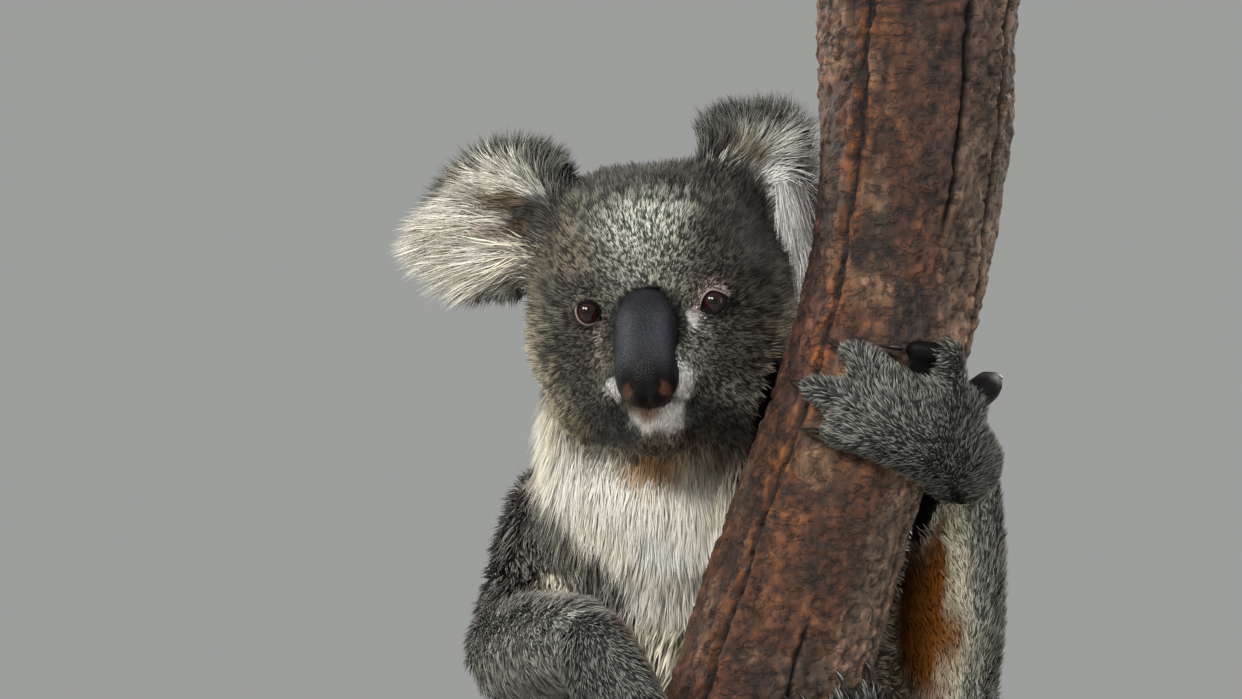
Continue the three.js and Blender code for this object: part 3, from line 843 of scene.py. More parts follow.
def lie_of_part(points, normals, node):
    """The way that the hair of one part lies, before it is laid flat on the skin."""
    part = kind(node)
    if node == "head":
        return unit(points - NOSE_MIDDLE)
    if node in EARS:
        return lie_of_ear(points, normals, node)
    if part in ("neck", "torso"):
        return unit(unit((points - middle(node)) * (1, 1, 0)) * 0.45 - UP)
    if node in PAWS:
        return lie_on_paw(points, node)
    side = node.rsplit("_", 1)[1]
    return unit(middle(f"{NEXT_PART[part]}_{side}") - middle(node))


def laid(directions, normals):
    """Directions turned flat onto the skin."""
    return unit(directions - normals * (directions * normals).sum(-1, keepdims=True))


def lie_of_coat(points, normals, shares, weave):
    """The way that the hair lies at each point of the skin, and the angle at which an ear's hair stands."""
    lie = np.zeros_like(points)
    for node, used, share in parts_of(shares):
        lie[used] += share * lie_of_part(points[used], normals[used], node)
    wanted = unit(weave.averaged(lie, 4))
    upright = 0.9 * share_of(shares, *EARS) * np.arcsin(np.clip((wanted * normals).sum(1), 0, 1))
    for side in SIDES:
        margin = lid_margin(points, side)[0]
        lie += 1.2 * bell(margin, LID_PULL)[:, None] * unit(points - EYE_AT[side])
    return laid(weave.averaged(laid(lie, normals), 8), normals), upright


# ---------------------------------------------------------------- where and how tufts grow

CLUMP = 13                # tufts to a clump
# How far each part's tips are drawn into clumps, from 0 to 1.
CLUMPING = {"head": 0.08, "neck": 0.25, "torso": 0.4, "ear": 0.28, "hand": 0.12, "foot": 0.25}
CLUMPING_ELSEWHERE = 0.34
DROOP = {"neck": 7.0, "ear_left": 7.0, "ear_right": 3.0}  # how far tips sag, against their length squared
EAR_SHOWN = 0.5           # how far along the hair of the ears it mostly shows
SHORT_HAIR = 5.5 * MM     # tufts shorter than this mix dark and light more finely
DARK_PICK, LIGHT_PICK = 0.46, 0.61  # below and above which tufts turn darker and lighter
TUFT_SEED = 7
SWIRL, STRAY = 0.7, 0.14  # how far tufts turn in swirls, and each for itself, in radians
VARIED = {"length": (0.7, 1.15), "lift": (0.75, 1.3), "width": (0.75, 1.25)}  # least and most, as shares


class Roots:
    """Where tufts grow: points spread evenly over the skin by the coat's density."""

    def __init__(self, mesh, density, rng):
        self.corners = numbers(mesh.loop_triangles, "vertices", 3, int)
        self.loops = numbers(mesh.loop_triangles, "loops", 3, int)
        area = numbers(mesh.loop_triangles, "area", 1) / MM**2
        amount = np.cumsum(area * density[self.corners].mean(1))
        count = int(amount[-1])
        picks = (np.arange(count) + rng.random(count)) / count * amount[-1]
        self.triangles = np.minimum(np.searchsorted(amount, picks), len(area) - 1)
        a, b = rng.random((2, count))
        a, b = np.where(a + b > 1, 1 - a, a), np.where(a + b > 1, 1 - b, b)
        self.shares = np.stack([1 - a - b, a, b], axis=1)[:, :, None]

    def read(self, values):
        """Values of the skin's points, read at the roots."""
        rows = values.reshape(len(values), -1)
        return (rows[self.corners[self.triangles]] * self.shares).sum(1).reshape(-1, *values.shape[1:])

    def read_corners(self, values):
        """Values of the skin's face corners, read at the roots."""
        return (values[self.loops[self.triangles]] * self.shares).sum(1)


def rooted_tufts(mesh, points, normals, shares, holding, measures, rng):
    """Tufts that know their roots, parts and measures, one row for each tuft, and the roots."""
    density = measures["density"] * 1
    roots = Roots(mesh, density * (1 - bareness(points, holding)), rng)
    tufts = {name: roots.read(values) for name, values in measures.items()}
    tufts["root"] = roots.read(points)
    tufts["normal"] = unit(roots.read(normals))
    tufts["uv"] = roots.read_corners(numbers(mesh.uv_layers["OFBake"].data, "uv", 2))
    tufts["part"] = roots.read(shares).argmax(1)
    return tufts, roots


def lay_tufts(tufts, lie, rng):
    """Lays tufts along the lie with swirls, and varies their measures. They are shorter beside the eyes."""
    root, count = tufts["root"], len(tufts["root"])
    swirl = (noise(root, 13, 0) + noise(root, 4, 1) - 1) * SWIRL + rng.normal(0, STRAY, count)
    lay = laid(lie, tufts["normal"])
    beside = np.cross(tufts["normal"], lay)
    tufts["lie"] = lay * np.cos(swirl)[:, None] + beside * np.sin(swirl)[:, None]
    for measure, (least, most) in VARIED.items():
        tufts[measure] *= rng.uniform(least, most, count)
    for side in SIDES:
        tufts["length"] *= 0.5 + 0.5 * step(1 * MM, 7 * MM, lid_margin(root, side)[0])


def light_tufts(tufts, ahead):
    """Gives tufts the normals that light falls on. Long hair that faces ahead is lit as one soft front."""
    downward = step(0.2, -0.6, tufts["normal"][:, 2:])
    straight = (1 - 0.6 * ahead * downward) * tufts["normal"]
    tufts["light"] = unit(straight - 0.8 * ahead * HEAD_Y + 0.25 * ahead * UP)


def colour_tufts(tufts, colour, mix, frost, rng):
    """Gives tufts their colours, where mix says how strongly light and dark ones stand side by side."""
    root, count = tufts["root"], len(tufts["root"])
    pick = np.where(tufts["length"] < SHORT_HAIR, noise(root, 0.9, 4), noise(root, 1.8, 4))
    pick = pick + rng.uniform(-0.22, 0.22, count)
    salt = np.where(pick < DARK_PICK, -1.6, np.where(pick > LIGHT_PICK, 1.15, 0.0)) * mix
    tufts["colour"] = colour * np.exp(salt + rng.normal(0, 1, count) * (0.05 + 0.07 * mix))[:, None]
    tufts["frost"] = np.clip(frost * np.where(salt < 0, 0.4, np.where(salt > 0, 1.6, 1.0)), 0, 1)
    # Darker roots: partly the hairs' own banding, partly painted shade deep in the coat.
    tufts["shade"] = np.clip(1.0 - 0.75 * mix, 0.3, 1.0)


def clumped(roots, tips, strength):
    """Tips drawn towards the tip of the nearest clump's middle tuft."""
    centres = np.arange(0, len(roots), CLUMP)
    tree = KDTree(len(centres))
    for place, index in enumerate(centres):
        tree.insert(roots[index], place)
    tree.balance()
    nearest = centres[[tree.find(root)[1] for root in roots]]
    pull = tips[nearest] - tips
    reach = np.linalg.norm(tips - roots, axis=1, keepdims=True)
    pull = pull * np.minimum(1, reach / np.maximum(np.linalg.norm(pull, axis=1, keepdims=True), 1e-9))
    return tips + strength[:, None] * pull


def tuft_tips(tufts):
    """Where tufts end: lifted off the skin, sagging where they are long, and drawn together in clumps."""
    lift, reach, part = tufts["lift"][:, None], tufts["length"][:, None], tufts["part"]
    tips = tufts["root"] + reach * (np.cos(lift) * tufts["lie"] + np.sin(lift) * tufts["normal"])
    droop = np.array([DROOP.get(node, 0) for node in FLESH])[part, None] * reach**2
    tips = tips - np.minimum(droop, 0.3 * reach) * UP
    clumping = np.array([CLUMPING.get(kind(node), CLUMPING_ELSEWHERE) for node in FLESH])
    return clumped(tufts["root"], tips, clumping[part])


def grown_tufts(mesh, shares, holding, normals, lie, upright):
    """Everything that the coat's tufts need to know, one row for each tuft."""
    rng = np.random.default_rng(TUFT_SEED)
    points = numbers(mesh.vertices, "co", 3)
    measures = coat_measures(points, normals, shares)
    measures["lift"] = np.maximum(measures["lift"], upright)
    tufts, roots = rooted_tufts(mesh, points, normals, shares, holding, measures, rng)
    lay_tufts(tufts, roots.read(lie), rng)
    ahead = share_of(shares, *EARS, "neck") * step(-0.5, 0.2, forward(normals))
    light_tufts(tufts, roots.read(ahead)[:, None])
    seen = points + (EAR_SHOWN * share_of(shares, *EARS) * measures["length"])[:, None] * lie
    looks = coat_colour(points, seen, normals, shares)
    colour_tufts(tufts, *(roots.read(values) for values in looks), rng)
    tufts["wave"] = 2 * (noise(tufts["root"], 7, 5) - 0.5) + rng.normal(0, 0.4, len(tufts["root"]))
    tufts["tip"] = tuft_tips(tufts)
    return tufts


# ---------------------------------------------------------------- tufts as meshes

TRIANGLES = 190_000       # the most in one piece of the coat
TUFT_TRIANGLES = {False: 6, True: 12}  # in a tuft, by whether it is long
RINGS = {False: ((0.40, 1.0),), True: ((0.30, 1.0), (0.68, 0.72))}  # place along a tuft, share of its width
PATCH = 0.003             # a tuft's patch on the unwrap of the skin
ROOT_DEPTH = 0.8 * MM     # how far a tuft starts below the skin
BEND = 0.48               # how far along its length a tuft's bend is
WAVE = 0.05               # how far a tuft winds to each side, against its length
RIDGE = 0.6               # how high the ridge on a tuft is, against half its width
ROUNDED = 0.45            # how far a tuft's normals turn to its two sides, so that it looks round
FACE_REACH = 72           # how far from the nose the face ends and the rest of the head begins, in mm


def tuft_shape(tufts, long):
    """The corners of tufts, their shading normals and colours, and one tuft's triangles and patch. A long
    tuft has two rings of corners, to bend more."""
    root, tip, up = tufts["root"], tufts["tip"], tufts["normal"]
    reach = tufts["length"][:, None]
    rise = np.minimum(1.5 * tufts["lift"], 1.2)[:, None]
    bend = root + BEND * reach * (np.cos(rise) * tufts["lie"] + np.sin(rise) * up)
    beside = unit(np.cross(tip - root, up))
    light = tufts["light"]
    half = tufts["width"][:, None] / 2
    hue, shade, frost = tufts["colour"], tufts["shade"][:, None], tufts["frost"]
    # The root takes the darker shade and the rings lighten towards the tip: partly the hairs' own banding,
    # partly painted shade deep in the coat.
    corners, shading, hues, patch = [root - ROOT_DEPTH * up], [light], [shade * hue], [(0.5, 0.0)]
    for along, share in RINGS[long]:
        line = (1 - along) ** 2 * root + 2 * along * (1 - along) * bend + along**2 * tip
        line = line + WAVE * math.sin(2 * math.pi * along) * tufts["wave"][:, None] * reach * beside
        for across, over in ((-1, 0), (1, 0), (0, RIDGE)):
            corners.append(line + half * share * (across * beside + over * up))
            shading.append(unit(light + ROUNDED * across * beside))
            hues.append(mixed((shade + (1.1 - shade) * along**1.5) * hue, SILVER, frost * along**3))
            patch.append((0.5 + 0.5 * across, along))
    corners.append(tip)
    shading.append(light)
    hues.append(mixed(1.15 * hue, SILVER, frost))
    patch.append((0.5, 1.0))
    stacked = [np.stack(rows, axis=1) for rows in (corners, shading, hues)]
    return *stacked, tuft_triangles(len(corners)), (np.array(patch) - 0.5) * PATCH


def tuft_triangles(count):
    """The triangles of a tuft with so many corners: its root, one or two rings of three, and its tip."""
    triangles = []
    last = count - 1
    for a, b in ((1, 0), (2, 1), (0, 2)):
        triangles.append((0, 1 + b, 1 + a))
        for ring in range(1, last - 3, 3):
            triangles += [(ring + a, ring + b, ring + 3 + b), (ring + a, ring + 3 + b, ring + 3 + a)]
        triangles.append((last - 3 + a, last - 3 + b, last))
    return np.array(triangles)


def painted(mesh, colours):
    """Gives a mesh's points their colours, which its material reads as tint."""
    layer = mesh.color_attributes.new("tint", "FLOAT_COLOR", "POINT")
    layer.data.foreach_set("color", np.column_stack([colours, np.ones(len(colours))]).ravel())


def tuft_mesh(name, tufts, long):
    """Tufts as one mesh of small closed solids, with their colours and their places on the skin's unwrap."""
    corners, shading, hues, triangles, patch = tuft_shape(tufts, long)
    count, each = corners.shape[:2]
    faces = (triangles[None] + each * np.arange(count)[:, None, None]).reshape(-1, 3)
    mesh = bpy.data.meshes.new(name)
    mesh.vertices.add(count * each)
    mesh.vertices.foreach_set("co", corners.ravel())
    mesh.loops.add(faces.size)
    mesh.loops.foreach_set("vertex_index", faces.ravel())
    mesh.polygons.add(len(faces))
    mesh.polygons.foreach_set("loop_start", np.arange(0, faces.size, 3))
    mesh.update()
    places = tufts["uv"][:, None, :] + patch[None]
    mesh.uv_layers.new(name="OFBake").data.foreach_set("uv", places.reshape(-1, 2)[faces.ravel()].ravel())
    painted(mesh, hues.reshape(-1, 3))
    mesh.polygons.foreach_set("use_smooth", np.ones(len(mesh.polygons), bool))
    mesh.normals_split_custom_set_from_vertices(shading.reshape(-1, 3))
    return mesh


def coat_groups(tufts):
    """Which tufts go in which piece of the coat: its name, its slot, whether they are long, and which."""
    part = np.array([kind(node) for node in FLESH])[tufts["part"]]
    head, near = part == "head", nose_reach(tufts["root"]) < FACE_REACH
    yield "coat_face", "coat", False, head & near
    yield "coat_head", "coat", False, head & ~near
    yield "coat_ears", "ear_coat", True, part == "ear"
    yield "coat_neck", "pale_coat", False, part == "neck"
    yield "coat_torso", "coat", False, part == "torso"
    yield "coat_arms", "coat", False, np.isin(part, ("upper_arm", "forearm"))
    yield "coat_legs", "coat", False, np.isin(part, ("thigh", "shank"))
    yield "coat_paws", "coat", False, np.isin(part, ("hand", "foot"))


def coat(tufts, material):
    """The whole coat, in pieces."""
    for name, slot, long, chosen in coat_groups(tufts):
        rows = np.flatnonzero(chosen)
        most = TRIANGLES // TUFT_TRIANGLES[long]
        for number, some in enumerate(np.array_split(rows, -(-len(rows) // most)), 1):
            made = tuft_mesh(f"{name}_{number}", {key: values[some] for key, values in tufts.items()}, long)
            made.materials.append(material)
            piece(f"{name}_{number}", made)


# ---------------------------------------------------------------- materials

class Paint:
    """A new material, with short ways to add shader nodes. Each way returns an output of the new node, which
    can be an input of the next one."""

    def __init__(self, name):
        self.material = bpy.data.materials.new(name)
        self.material.use_nodes = True
        self.tree = self.material.node_tree

    def feed(self, made, inputs):
        """Sets a node's inputs, each to a value or to another node's output."""
        for name, value in inputs.items():
            if isinstance(value, bpy.types.NodeSocket):
                self.tree.links.new(value, made.inputs[name])
            else:
                made.inputs[name].default_value = value

    def add(self, name, inputs, output=0, **settings):
        """Adds any shader node, with its inputs and settings."""
        made = self.tree.nodes.new(f"ShaderNode{name}")
        for setting, value in settings.items():
            setattr(made, setting, value)
        self.feed(made, inputs)
        return made.outputs[output]

    def tint(self):
        """The colours that the mesh's points hold."""
        return self.add("Attribute", {}, "Color", attribute_name="tint")

    def place(self, stretch=(1, 1, 1), shift=(0, 0, 0)):
        """Places on the piece, multiplied along each axis and shifted."""
        plain = self.add("TexCoord", {}, "Object")
        return self.add("Mapping", {"Vector": plain, "Scale": stretch, "Location": shift})

    def ranged(self, value, come, go=(0.0, 1.0)):
        """A value spread from one range over another."""
        ends = {"From Min": come[0], "From Max": come[1], "To Min": go[0], "To Max": go[1]}
        return self.add("MapRange", {"Value": value, **ends})

    def math(self, operation, *values):
        """Arithmetic on one or two values."""
        return self.add("Math", dict(enumerate(values)), operation=operation)

    def scaled(self, colour, by):
        """A colour made lighter or darker."""
        return self.add("VectorMath", {0: colour, "Scale": by}, operation="SCALE")

    def ramp(self, value, *stops):
        """Colours that follow a value. Each stop is the value and its colour."""
        made = self.add("ValToRGB", {"Fac": value})
        elements = made.node.color_ramp.elements
        while len(elements) < len(stops):
            elements.new(1.0)
        for element, (place, colour) in zip(elements, stops):
            element.position = place
            element.color = (*colour, 1)
        return made

    def bump(self, height, strength, distance, **more):
        """Normals for fine relief."""
        return self.add("Bump", {"Height": height, "Strength": strength, "Distance": distance, **more})

    def done(self, inputs):
        """The material, with the inputs of its main shader set."""
        self.feed(self.tree.nodes["Principled BSDF"], inputs)
        return self.material


def hair_material():
    """Fur: its colour comes from the tufts, with a soft sheen."""
    paint = Paint("fur")
    return paint.done({
        "Base Color": paint.tint(), "Roughness": 0.62, "Specular IOR Level": 0.2, "Sheen Weight": 0.04,
    })


def skin_material():
    """Skin under the fur, grained, and leathery where it is bare."""
    paint = Paint("skin")
    grain = paint.add("TexVoronoi", {"Vector": paint.place(), "Scale": 900.0})
    return paint.done({
        "Base Color": paint.tint(), "Normal": paint.bump(grain, 0.35, 0.4 * MM),
        "Roughness": 0.55, "Specular IOR Level": 0.12,
    })


# ---------------------------------------------------------------- the body

def unwrapped(obj):
    """Gives the skin an unwrap of its own shape."""
    obj.data.uv_layers.new(name="OFBake")
    bpy.context.view_layer.objects.active = obj
    obj.select_set(True)
    bpy.ops.object.mode_set(mode="EDIT")
    bpy.ops.mesh.select_all(action="SELECT")
    bpy.ops.uv.smart_project(angle_limit=math.radians(60), island_margin=0.002)
    bpy.ops.object.mode_set(mode="OBJECT")
    obj.select_set(False)


def body():
    """The skin and the coat that grows on it."""
    mesh, shares, weave, holding = skin_mesh()
    unwrapped(piece("skin", mesh, FLESH))
    mesh.calc_loop_triangles()
    points = numbers(mesh.vertices, "co", 3)
    normals = unit(weave.averaged(point_normals(mesh), 2))
    painted(mesh, skin_colour(points, normals, shares, holding))
    mesh.materials.append(skin_material())
    lie, upright = lie_of_coat(points, normals, shares, weave)
    coat(grown_tufts(mesh, shares, holding, normals, lie, upright), hair_material())


# ---------------------------------------------------------------- eyes

IRIS = 6.6 * MM
PUPIL_WIDE, PUPIL_HIGH = 1.4 * MM, 3.2 * MM  # half the upright slit
CORNEA = 0.7 * MM         # how far the front of an eye stands out
GAZE = {"left": (0.14, -0.98, 0.0), "right": (0.02, -1.0, -0.02)}


def eye_material():
    """A wet dark brown eye with an upright slit of a pupil."""
    paint = Paint("eye")
    flat = paint.place((1, 1, 0))
    radius = paint.add("VectorMath", {0: flat}, "Value", operation="LENGTH")
    spoke = paint.add("VectorMath", {0: flat}, operation="NORMALIZE")
    fibres = paint.add("TexNoise", {"Vector": spoke, "Scale": 9.0, "Detail": 4.0})
    iris = paint.ramp(paint.ranged(radius, (0.0, IRIS)), (0.0, tone(28, 11, 7)), (0.55, tone(58, 24, 13)),
                      (0.8, tone(22, 10, 7)), (0.95, tone(4, 3, 3)))
    slit = paint.place((1 / PUPIL_WIDE, 1 / PUPIL_HIGH, 0))
    edge = paint.ranged(paint.add("VectorMath", {0: slit}, "Value", operation="LENGTH"), (1.15, 0.9))
    colour = iris
    for share, dark in ((fibres, (0.004, 0.002, 0.001, 1)), (edge, (0.002, 0.002, 0.002, 1))):
        colour = paint.add("Mix", {"Factor": share, "A": colour, "B": dark}, "Result", data_type="RGBA")
    return paint.done({
        "Base Color": colour, "Roughness": 0.4, "Specular IOR Level": 0.05,
        "Coat Weight": 0.75, "Coat Roughness": 0.01,
    })


def facing(place, look):
    """A frame at a place whose +Z looks one way, with its +Y as near upright as it can be."""
    across = unit(np.cross(UP, look))
    axes = np.column_stack([across, np.cross(look, across), look])
    return Matrix.Translation(Vector(place)) @ Matrix(axes.tolist()).to_4x4()


def eye(side, material):
    """An eyeball that looks along its own +Z, with a cornea that stands out a little."""
    shape = bmesh.new()
    bmesh.ops.create_uvsphere(shape, u_segments=72, v_segments=48, radius=EYE_RADIUS)
    for vertex in shape.verts:
        out = math.hypot(vertex.co.x, vertex.co.y)
        if vertex.co.z > 0 and out < IRIS:
            vertex.co.z += CORNEA * (1 - (out / IRIS) ** 2)
    mesh = bpy.data.meshes.new(f"eyeball_{side}")
    shape.to_mesh(mesh)
    shape.free()
    mesh.materials.append(material)
    look = unit(np.array(GAZE[side]) @ HEAD_AXES)
    piece(f"eyeball_{side}", mesh, [f"eye_{side}"], at=facing(EYE_AT[side], look))


# ---------------------------------------------------------------- nose

NOSTRIL = (7.6, -39.3)          # across and up in the head's frame, in mm
NOSE_VOXEL = 0.8 * MM
NOSE_ROUNDS = 220               # how often the nose is evened out
NOSE_SIZE, NOSE_SHIFT = (1.06, 1, 0.95), (-1.3, 0, -0.3)  # its leather against its solid, the shift in mm
NOSE_TOP, NOSE_DARK = tone(68, 70, 78), tone(5, 4, 4)
# The second nostril colour is painted shade deep in a nostril's slit.
NOSTRIL_SKIN, NOSTRIL_SHADE = tone(98, 63, 47), tone(6, 4, 4)


def nose_material():
    """Finely pebbled dark leather."""
    paint = Paint("nose")
    pebbles = paint.add("TexVoronoi", {"Vector": paint.place(), "Scale": 1100.0})
    return paint.done({
        "Base Color": paint.scaled(paint.tint(), paint.ranged(pebbles, (0.0, 0.7), (1.35, 0.6))),
        "Normal": paint.bump(pebbles, 0.8, 0.35 * MM), "Roughness": 0.5, "Specular IOR Level": 0.22,
    })


def nose_relief(local, front):
    """How far the nose's leather stands out, in mm, and how deep points are in a nostril and in its slit."""
    x, _, z = local.T
    out = np.abs(x) - NOSTRIL[0]
    high = z - NOSTRIL[1] + 0.5 * out
    pit = bell(out, 3.0) * bell(high, 4.2)
    slit = bell(out + 1.4, 1.0) * bell(high - 0.8, 2.4)
    groove = bell(x, 2.0) * step(-32, -42, z) * front
    fuller = 0.6 + 1.2 * step(-18, -34, z)
    return fuller - 1.5 * groove - 1.2 * pit - 2.0 * slit, pit, slit


def nose_colour(places, local, pit, slit):
    """The nose's colour: slate grey above, with painted sheen down both sides of its bridge, near black below
    it, darker at its sides as painted shade, brown round the nostrils, and painted shade in their slits."""
    x, _, z = local.T
    # Painted sheen: lighter slate bands down both sides of the bridge.
    sheen_band = bell(np.abs(x) - 7.5, 3.8) * step(6, -8, z)
    ragged = z + 4 * (noise(places, 5) - 0.5) + 0.35 * np.abs(x)
    colour = mixed(NOSE_DARK, NOSE_TOP, (0.3 + 0.6 * sheen_band) * step(-32, -14, ragged))
    # Painted shade at the nose's sides, where it turns away.
    colour = mixed(colour, NOSE_DARK, 0.6 * step(10, 14, np.abs(x)))
    colour = mixed(colour, NOSTRIL_SKIN, 0.9 * step(0.25, 0.8, pit))
    # Painted shade deep in each nostril's slit.
    return mixed(colour, NOSTRIL_SHADE, step(0.3, 0.8, slit))


def nose():
    """The long leathery nose, with a shallow groove down its middle and open nostrils."""
    points, _, faces = welded("nose")
    mesh = modified(built("nose", points, faces), "REMESH", mode="VOXEL", voxel_size=NOSE_VOXEL)
    weave = Weave(mesh)
    local = in_head(weave.smoothed(numbers(mesh.vertices, "co", 3), NOSE_ROUNDS))
    places = from_head(local * NOSE_SIZE + NOSE_SHIFT)
    moved(mesh, places)
    normals = unit(weave.averaged(point_normals(mesh), 6))
    relief, pit, slit = nose_relief(local, step(-0.2, 0.4, forward(normals)))
    places = places + normals * relief[:, None] * MM
    moved(mesh, places)
    painted(mesh, nose_colour(places, local, pit, slit))
    mesh.materials.append(nose_material())
    piece("nose_leather", mesh, ["nose"])


# ---------------------------------------------------------------- claws

CLAW_GROWTH = 0.3 * MM    # what rounding off takes from a claw


def claw_material():
    """Dark horn with a faint grain."""
    paint = Paint("claw")
    grain = paint.add("TexNoise", {"Vector": paint.place(), "Scale": 420.0, "Detail": 3.0})
    return paint.done({
        "Base Color": paint.ramp(grain, (0.3, tone(24, 20, 19)), (0.75, tone(58, 48, 42))),
        "Normal": paint.bump(grain, 0.2, 0.2 * MM), "Roughness": 0.32,
    })


def claws(paw, material):
    """A paw's claws, rounded off."""
    points, faces, _ = gathered(CLAWS[paw], CLAW_GROWTH)
    mesh = modified(built("claws", points, faces), "SUBSURF", levels=2, render_levels=2)
    mesh.materials.append(material)
    piece(f"claws_{paw}", mesh, CLAWS[paw])


# ---------------------------------------------------------------- the perch

AROUND = 220              # points round the bark
BARK_ROW = 1.7 * MM       # height of a row of points
BARK_RADIUS = 46          # the trunk's radius where its splits are laid out, in mm
ROUNDNESS = 5             # how many swells round the trunk its outline keeps
CUT_INSETS = (0.97, 0.75, 0.5, 0.25)  # rings on the sawn ends, as shares of the bark's radius
CUT_WOOD = tone(170, 130, 92)

# The bark's lumps, as noise: how far they stand out and how wide they are in mm, the noise's layer and how
# squat they are.
LUMPS = (
    (2.6, 26, 0, 0.35),
    (1.8, 9, 1, 0.5),
    (1.7, 4.6, 4, 1.5),
    (0.9, 2.6, 5, 1.2),
)

# Long splits: degrees from the front towards +X, the heights that they span as shares of the perch,
# how far they lean over that height in degrees, and their width and depth in mm.
SPLITS = (
    (-42, 0.24, 1.00, 16, 1.7, 4.0),
    (24, 0.76, 1.00, 10, 1.7, 4.0),
    (8, 0.05, 0.48, -12, 1.4, 3.4),
    (64, 0.18, 0.96, -8, 1.5, 3.6),
    (128, 0.25, 1.00, -10, 1.8, 3.8),
    (180, 0.00, 0.60, 12, 1.6, 3.6),
    (-96, 0.12, 0.72, 10, 1.6, 3.6),
    (-146, 0.35, 1.00, -14, 1.8, 4.0),
)

# The third bark colour is painted light on one side of the trunk.
BARK, BARK_DARK, BARK_LIT_SIDE = tone(96, 60, 36), tone(54, 33, 22), tone(140, 118, 100)
# The last bark colour is painted shade in the splits and cracks.
PEELED, BARK_RUST, SPLIT_SHADE = tone(140, 112, 92), tone(140, 78, 26), tone(12, 7, 5)

# Patches of the bark, as noise: the colour, how strong it is, between which values of the noise it comes in,
# how wide the noise's lumps are in mm, its layer and how squat they are.
PATCHES = (
    (tone(92, 62, 56), 0.60, 0.45, 0.70, 26, 1, 0.5),
    (tone(80, 72, 60), 0.55, 0.52, 0.72, 20, 4, 0.45),
    (tone(132, 100, 74), 0.70, 0.66, 0.80, 15, 0, 0.7),
)


def bark_radii(turns, heights):
    """How far the trunk's surface is from its middle, for each height and turn, without its facets."""
    radii = np.full((len(heights), len(turns)), np.nan)
    for row, z in enumerate(heights):
        start = Vector(perch_middle(np.array([z]))[0])
        for column, turn in enumerate(turns):
            hit = PERCH_TREE.ray_cast(start, Vector((math.sin(turn), -math.cos(turn), 0)))[0]
            if hit is not None:
                radii[row, column] = (hit - start).length
    radii = np.where(np.isnan(radii), np.nanmean(radii), radii)
    waves = np.fft.rfft(radii, axis=1)
    waves[:, ROUNDNESS + 1:] = 0
    radii = np.fft.irfft(waves, len(turns), axis=1)
    for _ in range(30):
        radii[1:-1] = (radii[1:-1] + (radii[:-2] + radii[2:]) / 2) / 2
    return radii


def split_shape(places, turns, share, split):
    """How far points are inside one long split and on its lips, and where along the trunk it runs. Share is
    how high they are on the perch."""
    degrees, low, high, lean, width, _ = split
    level = places * (0, 0, 1)
    course = np.radians(degrees + lean * (share - 0.5))
    course = course + 0.16 * (noise(level, 45, 5) - 0.5) + 0.08 * (noise(level, 9, 2) - 0.5)
    apart = np.abs((turns - course + math.pi) % (2 * math.pi) - math.pi) * BARK_RADIUS
    faded = step(low - 0.04, low + 0.05, share) * step(high + 0.04, high - 0.05, share)
    ragged = width * (0.45 + 0.9 * noise(places, 7, 3))
    return bell(apart, ragged) * faded, bell(apart - 3.2 * ragged, 2.4) * faded, bell(apart, 7) * faded


def bark_relief(places, turns, share):
    """The bark's relief, outward in metres, how far each point is in a split or in a cross crack, and how
    near it is to the first split."""
    relief = sum(rise * MM * (noise(places, *lump) - 0.5) for rise, *lump in LUMPS)
    checks = bell(noise(places, 12, 2, 2.6) - 0.5, 0.03) * step(0.35, 0.6, noise(places, 24, 3))
    relief -= 1.1 * MM * checks
    flakes = noise(places, 6.5, 5, 1.5)
    cracks = bell(flakes - 0.5, 0.035)
    relief += (0.5 * step(0.5, 0.62, flakes) - 0.7 * cracks) * MM
    split = np.zeros(len(places))
    for row in SPLITS:
        inside, lip, _ = split_shape(places, turns, share, row)
        relief += (0.9 * lip - row[-1] * inside) * MM
        split = np.maximum(split, step(0.25, 0.6, inside))
    edge = split_shape(places, turns, share, SPLITS[0])[2]
    return relief, split, np.maximum(checks, 0.8 * cracks), edge


def bark_colour(places, turns, relief, split, checks, edge):
    """Red-brown and purple-brown bark with grey and tan patches, a paler side in painted light with a peeled
    patch, rust beside its first split, painted shade and light that follow its relief, and painted shade in
    its splits and cracks."""
    degrees = np.degrees(turns)
    colour = mixed(BARK, BARK_DARK, step(0.3, 0.7, noise(places, 14, 2, 0.6)))
    # Painted light: the side towards +X made paler.
    colour = mixed(colour, BARK_LIT_SIDE, 0.7 * step(18, 50, degrees) * step(140, 90, degrees))
    for hue, strength, low, high, *lump in PATCHES:
        colour = mixed(colour, hue, strength * step(low, high, noise(places, *lump)))
    peeled = step(36, 16, np.abs(degrees - 62)) * step(0.3, 0.6, noise(places, 13, 3, 0.5))
    colour = mixed(colour, PEELED, 0.75 * peeled)
    flakes = 0.5 * noise(places, 9, 5, 0.5) + 0.5 * noise(places, 3, 4)
    rust = step(0.42, 0.66, flakes + 0.12 * edge)
    colour = mixed(colour, BARK_RUST, 0.75 * rust * (0.18 + 0.82 * edge))
    fine = noise(places, 3.2, 1, 0.8)
    # Random tone from the fine noise, with painted shade where the relief sinks and painted light where it
    # stands out.
    colour = 0.82 * colour * np.exp(1.5 * (fine - 0.5) + 170 * relief)[:, None]
    # Painted shade in the splits and cross cracks.
    return mixed(colour, SPLIT_SHADE, np.clip(0.97 * split + 0.65 * checks, 0, 1))


def creases(paint, place, scale, width):
    """A pattern that is 1 on plain bark and drops to 0.35 along winding, broken creases."""
    waves = paint.add("TexNoise", {"Vector": place, "Scale": scale, "Detail": 3.0})
    apart = paint.math("ABSOLUTE", paint.math("SUBTRACT", waves, 0.5))
    gaps = paint.add("TexNoise", {"Vector": place, "Scale": 0.7 * scale + 9})
    apart = paint.math("ADD", apart, paint.ranged(gaps, (0.45, 0.6), (0.0, 0.1)))
    return paint.ranged(apart, (0.0, width), (0.35, 1.0))


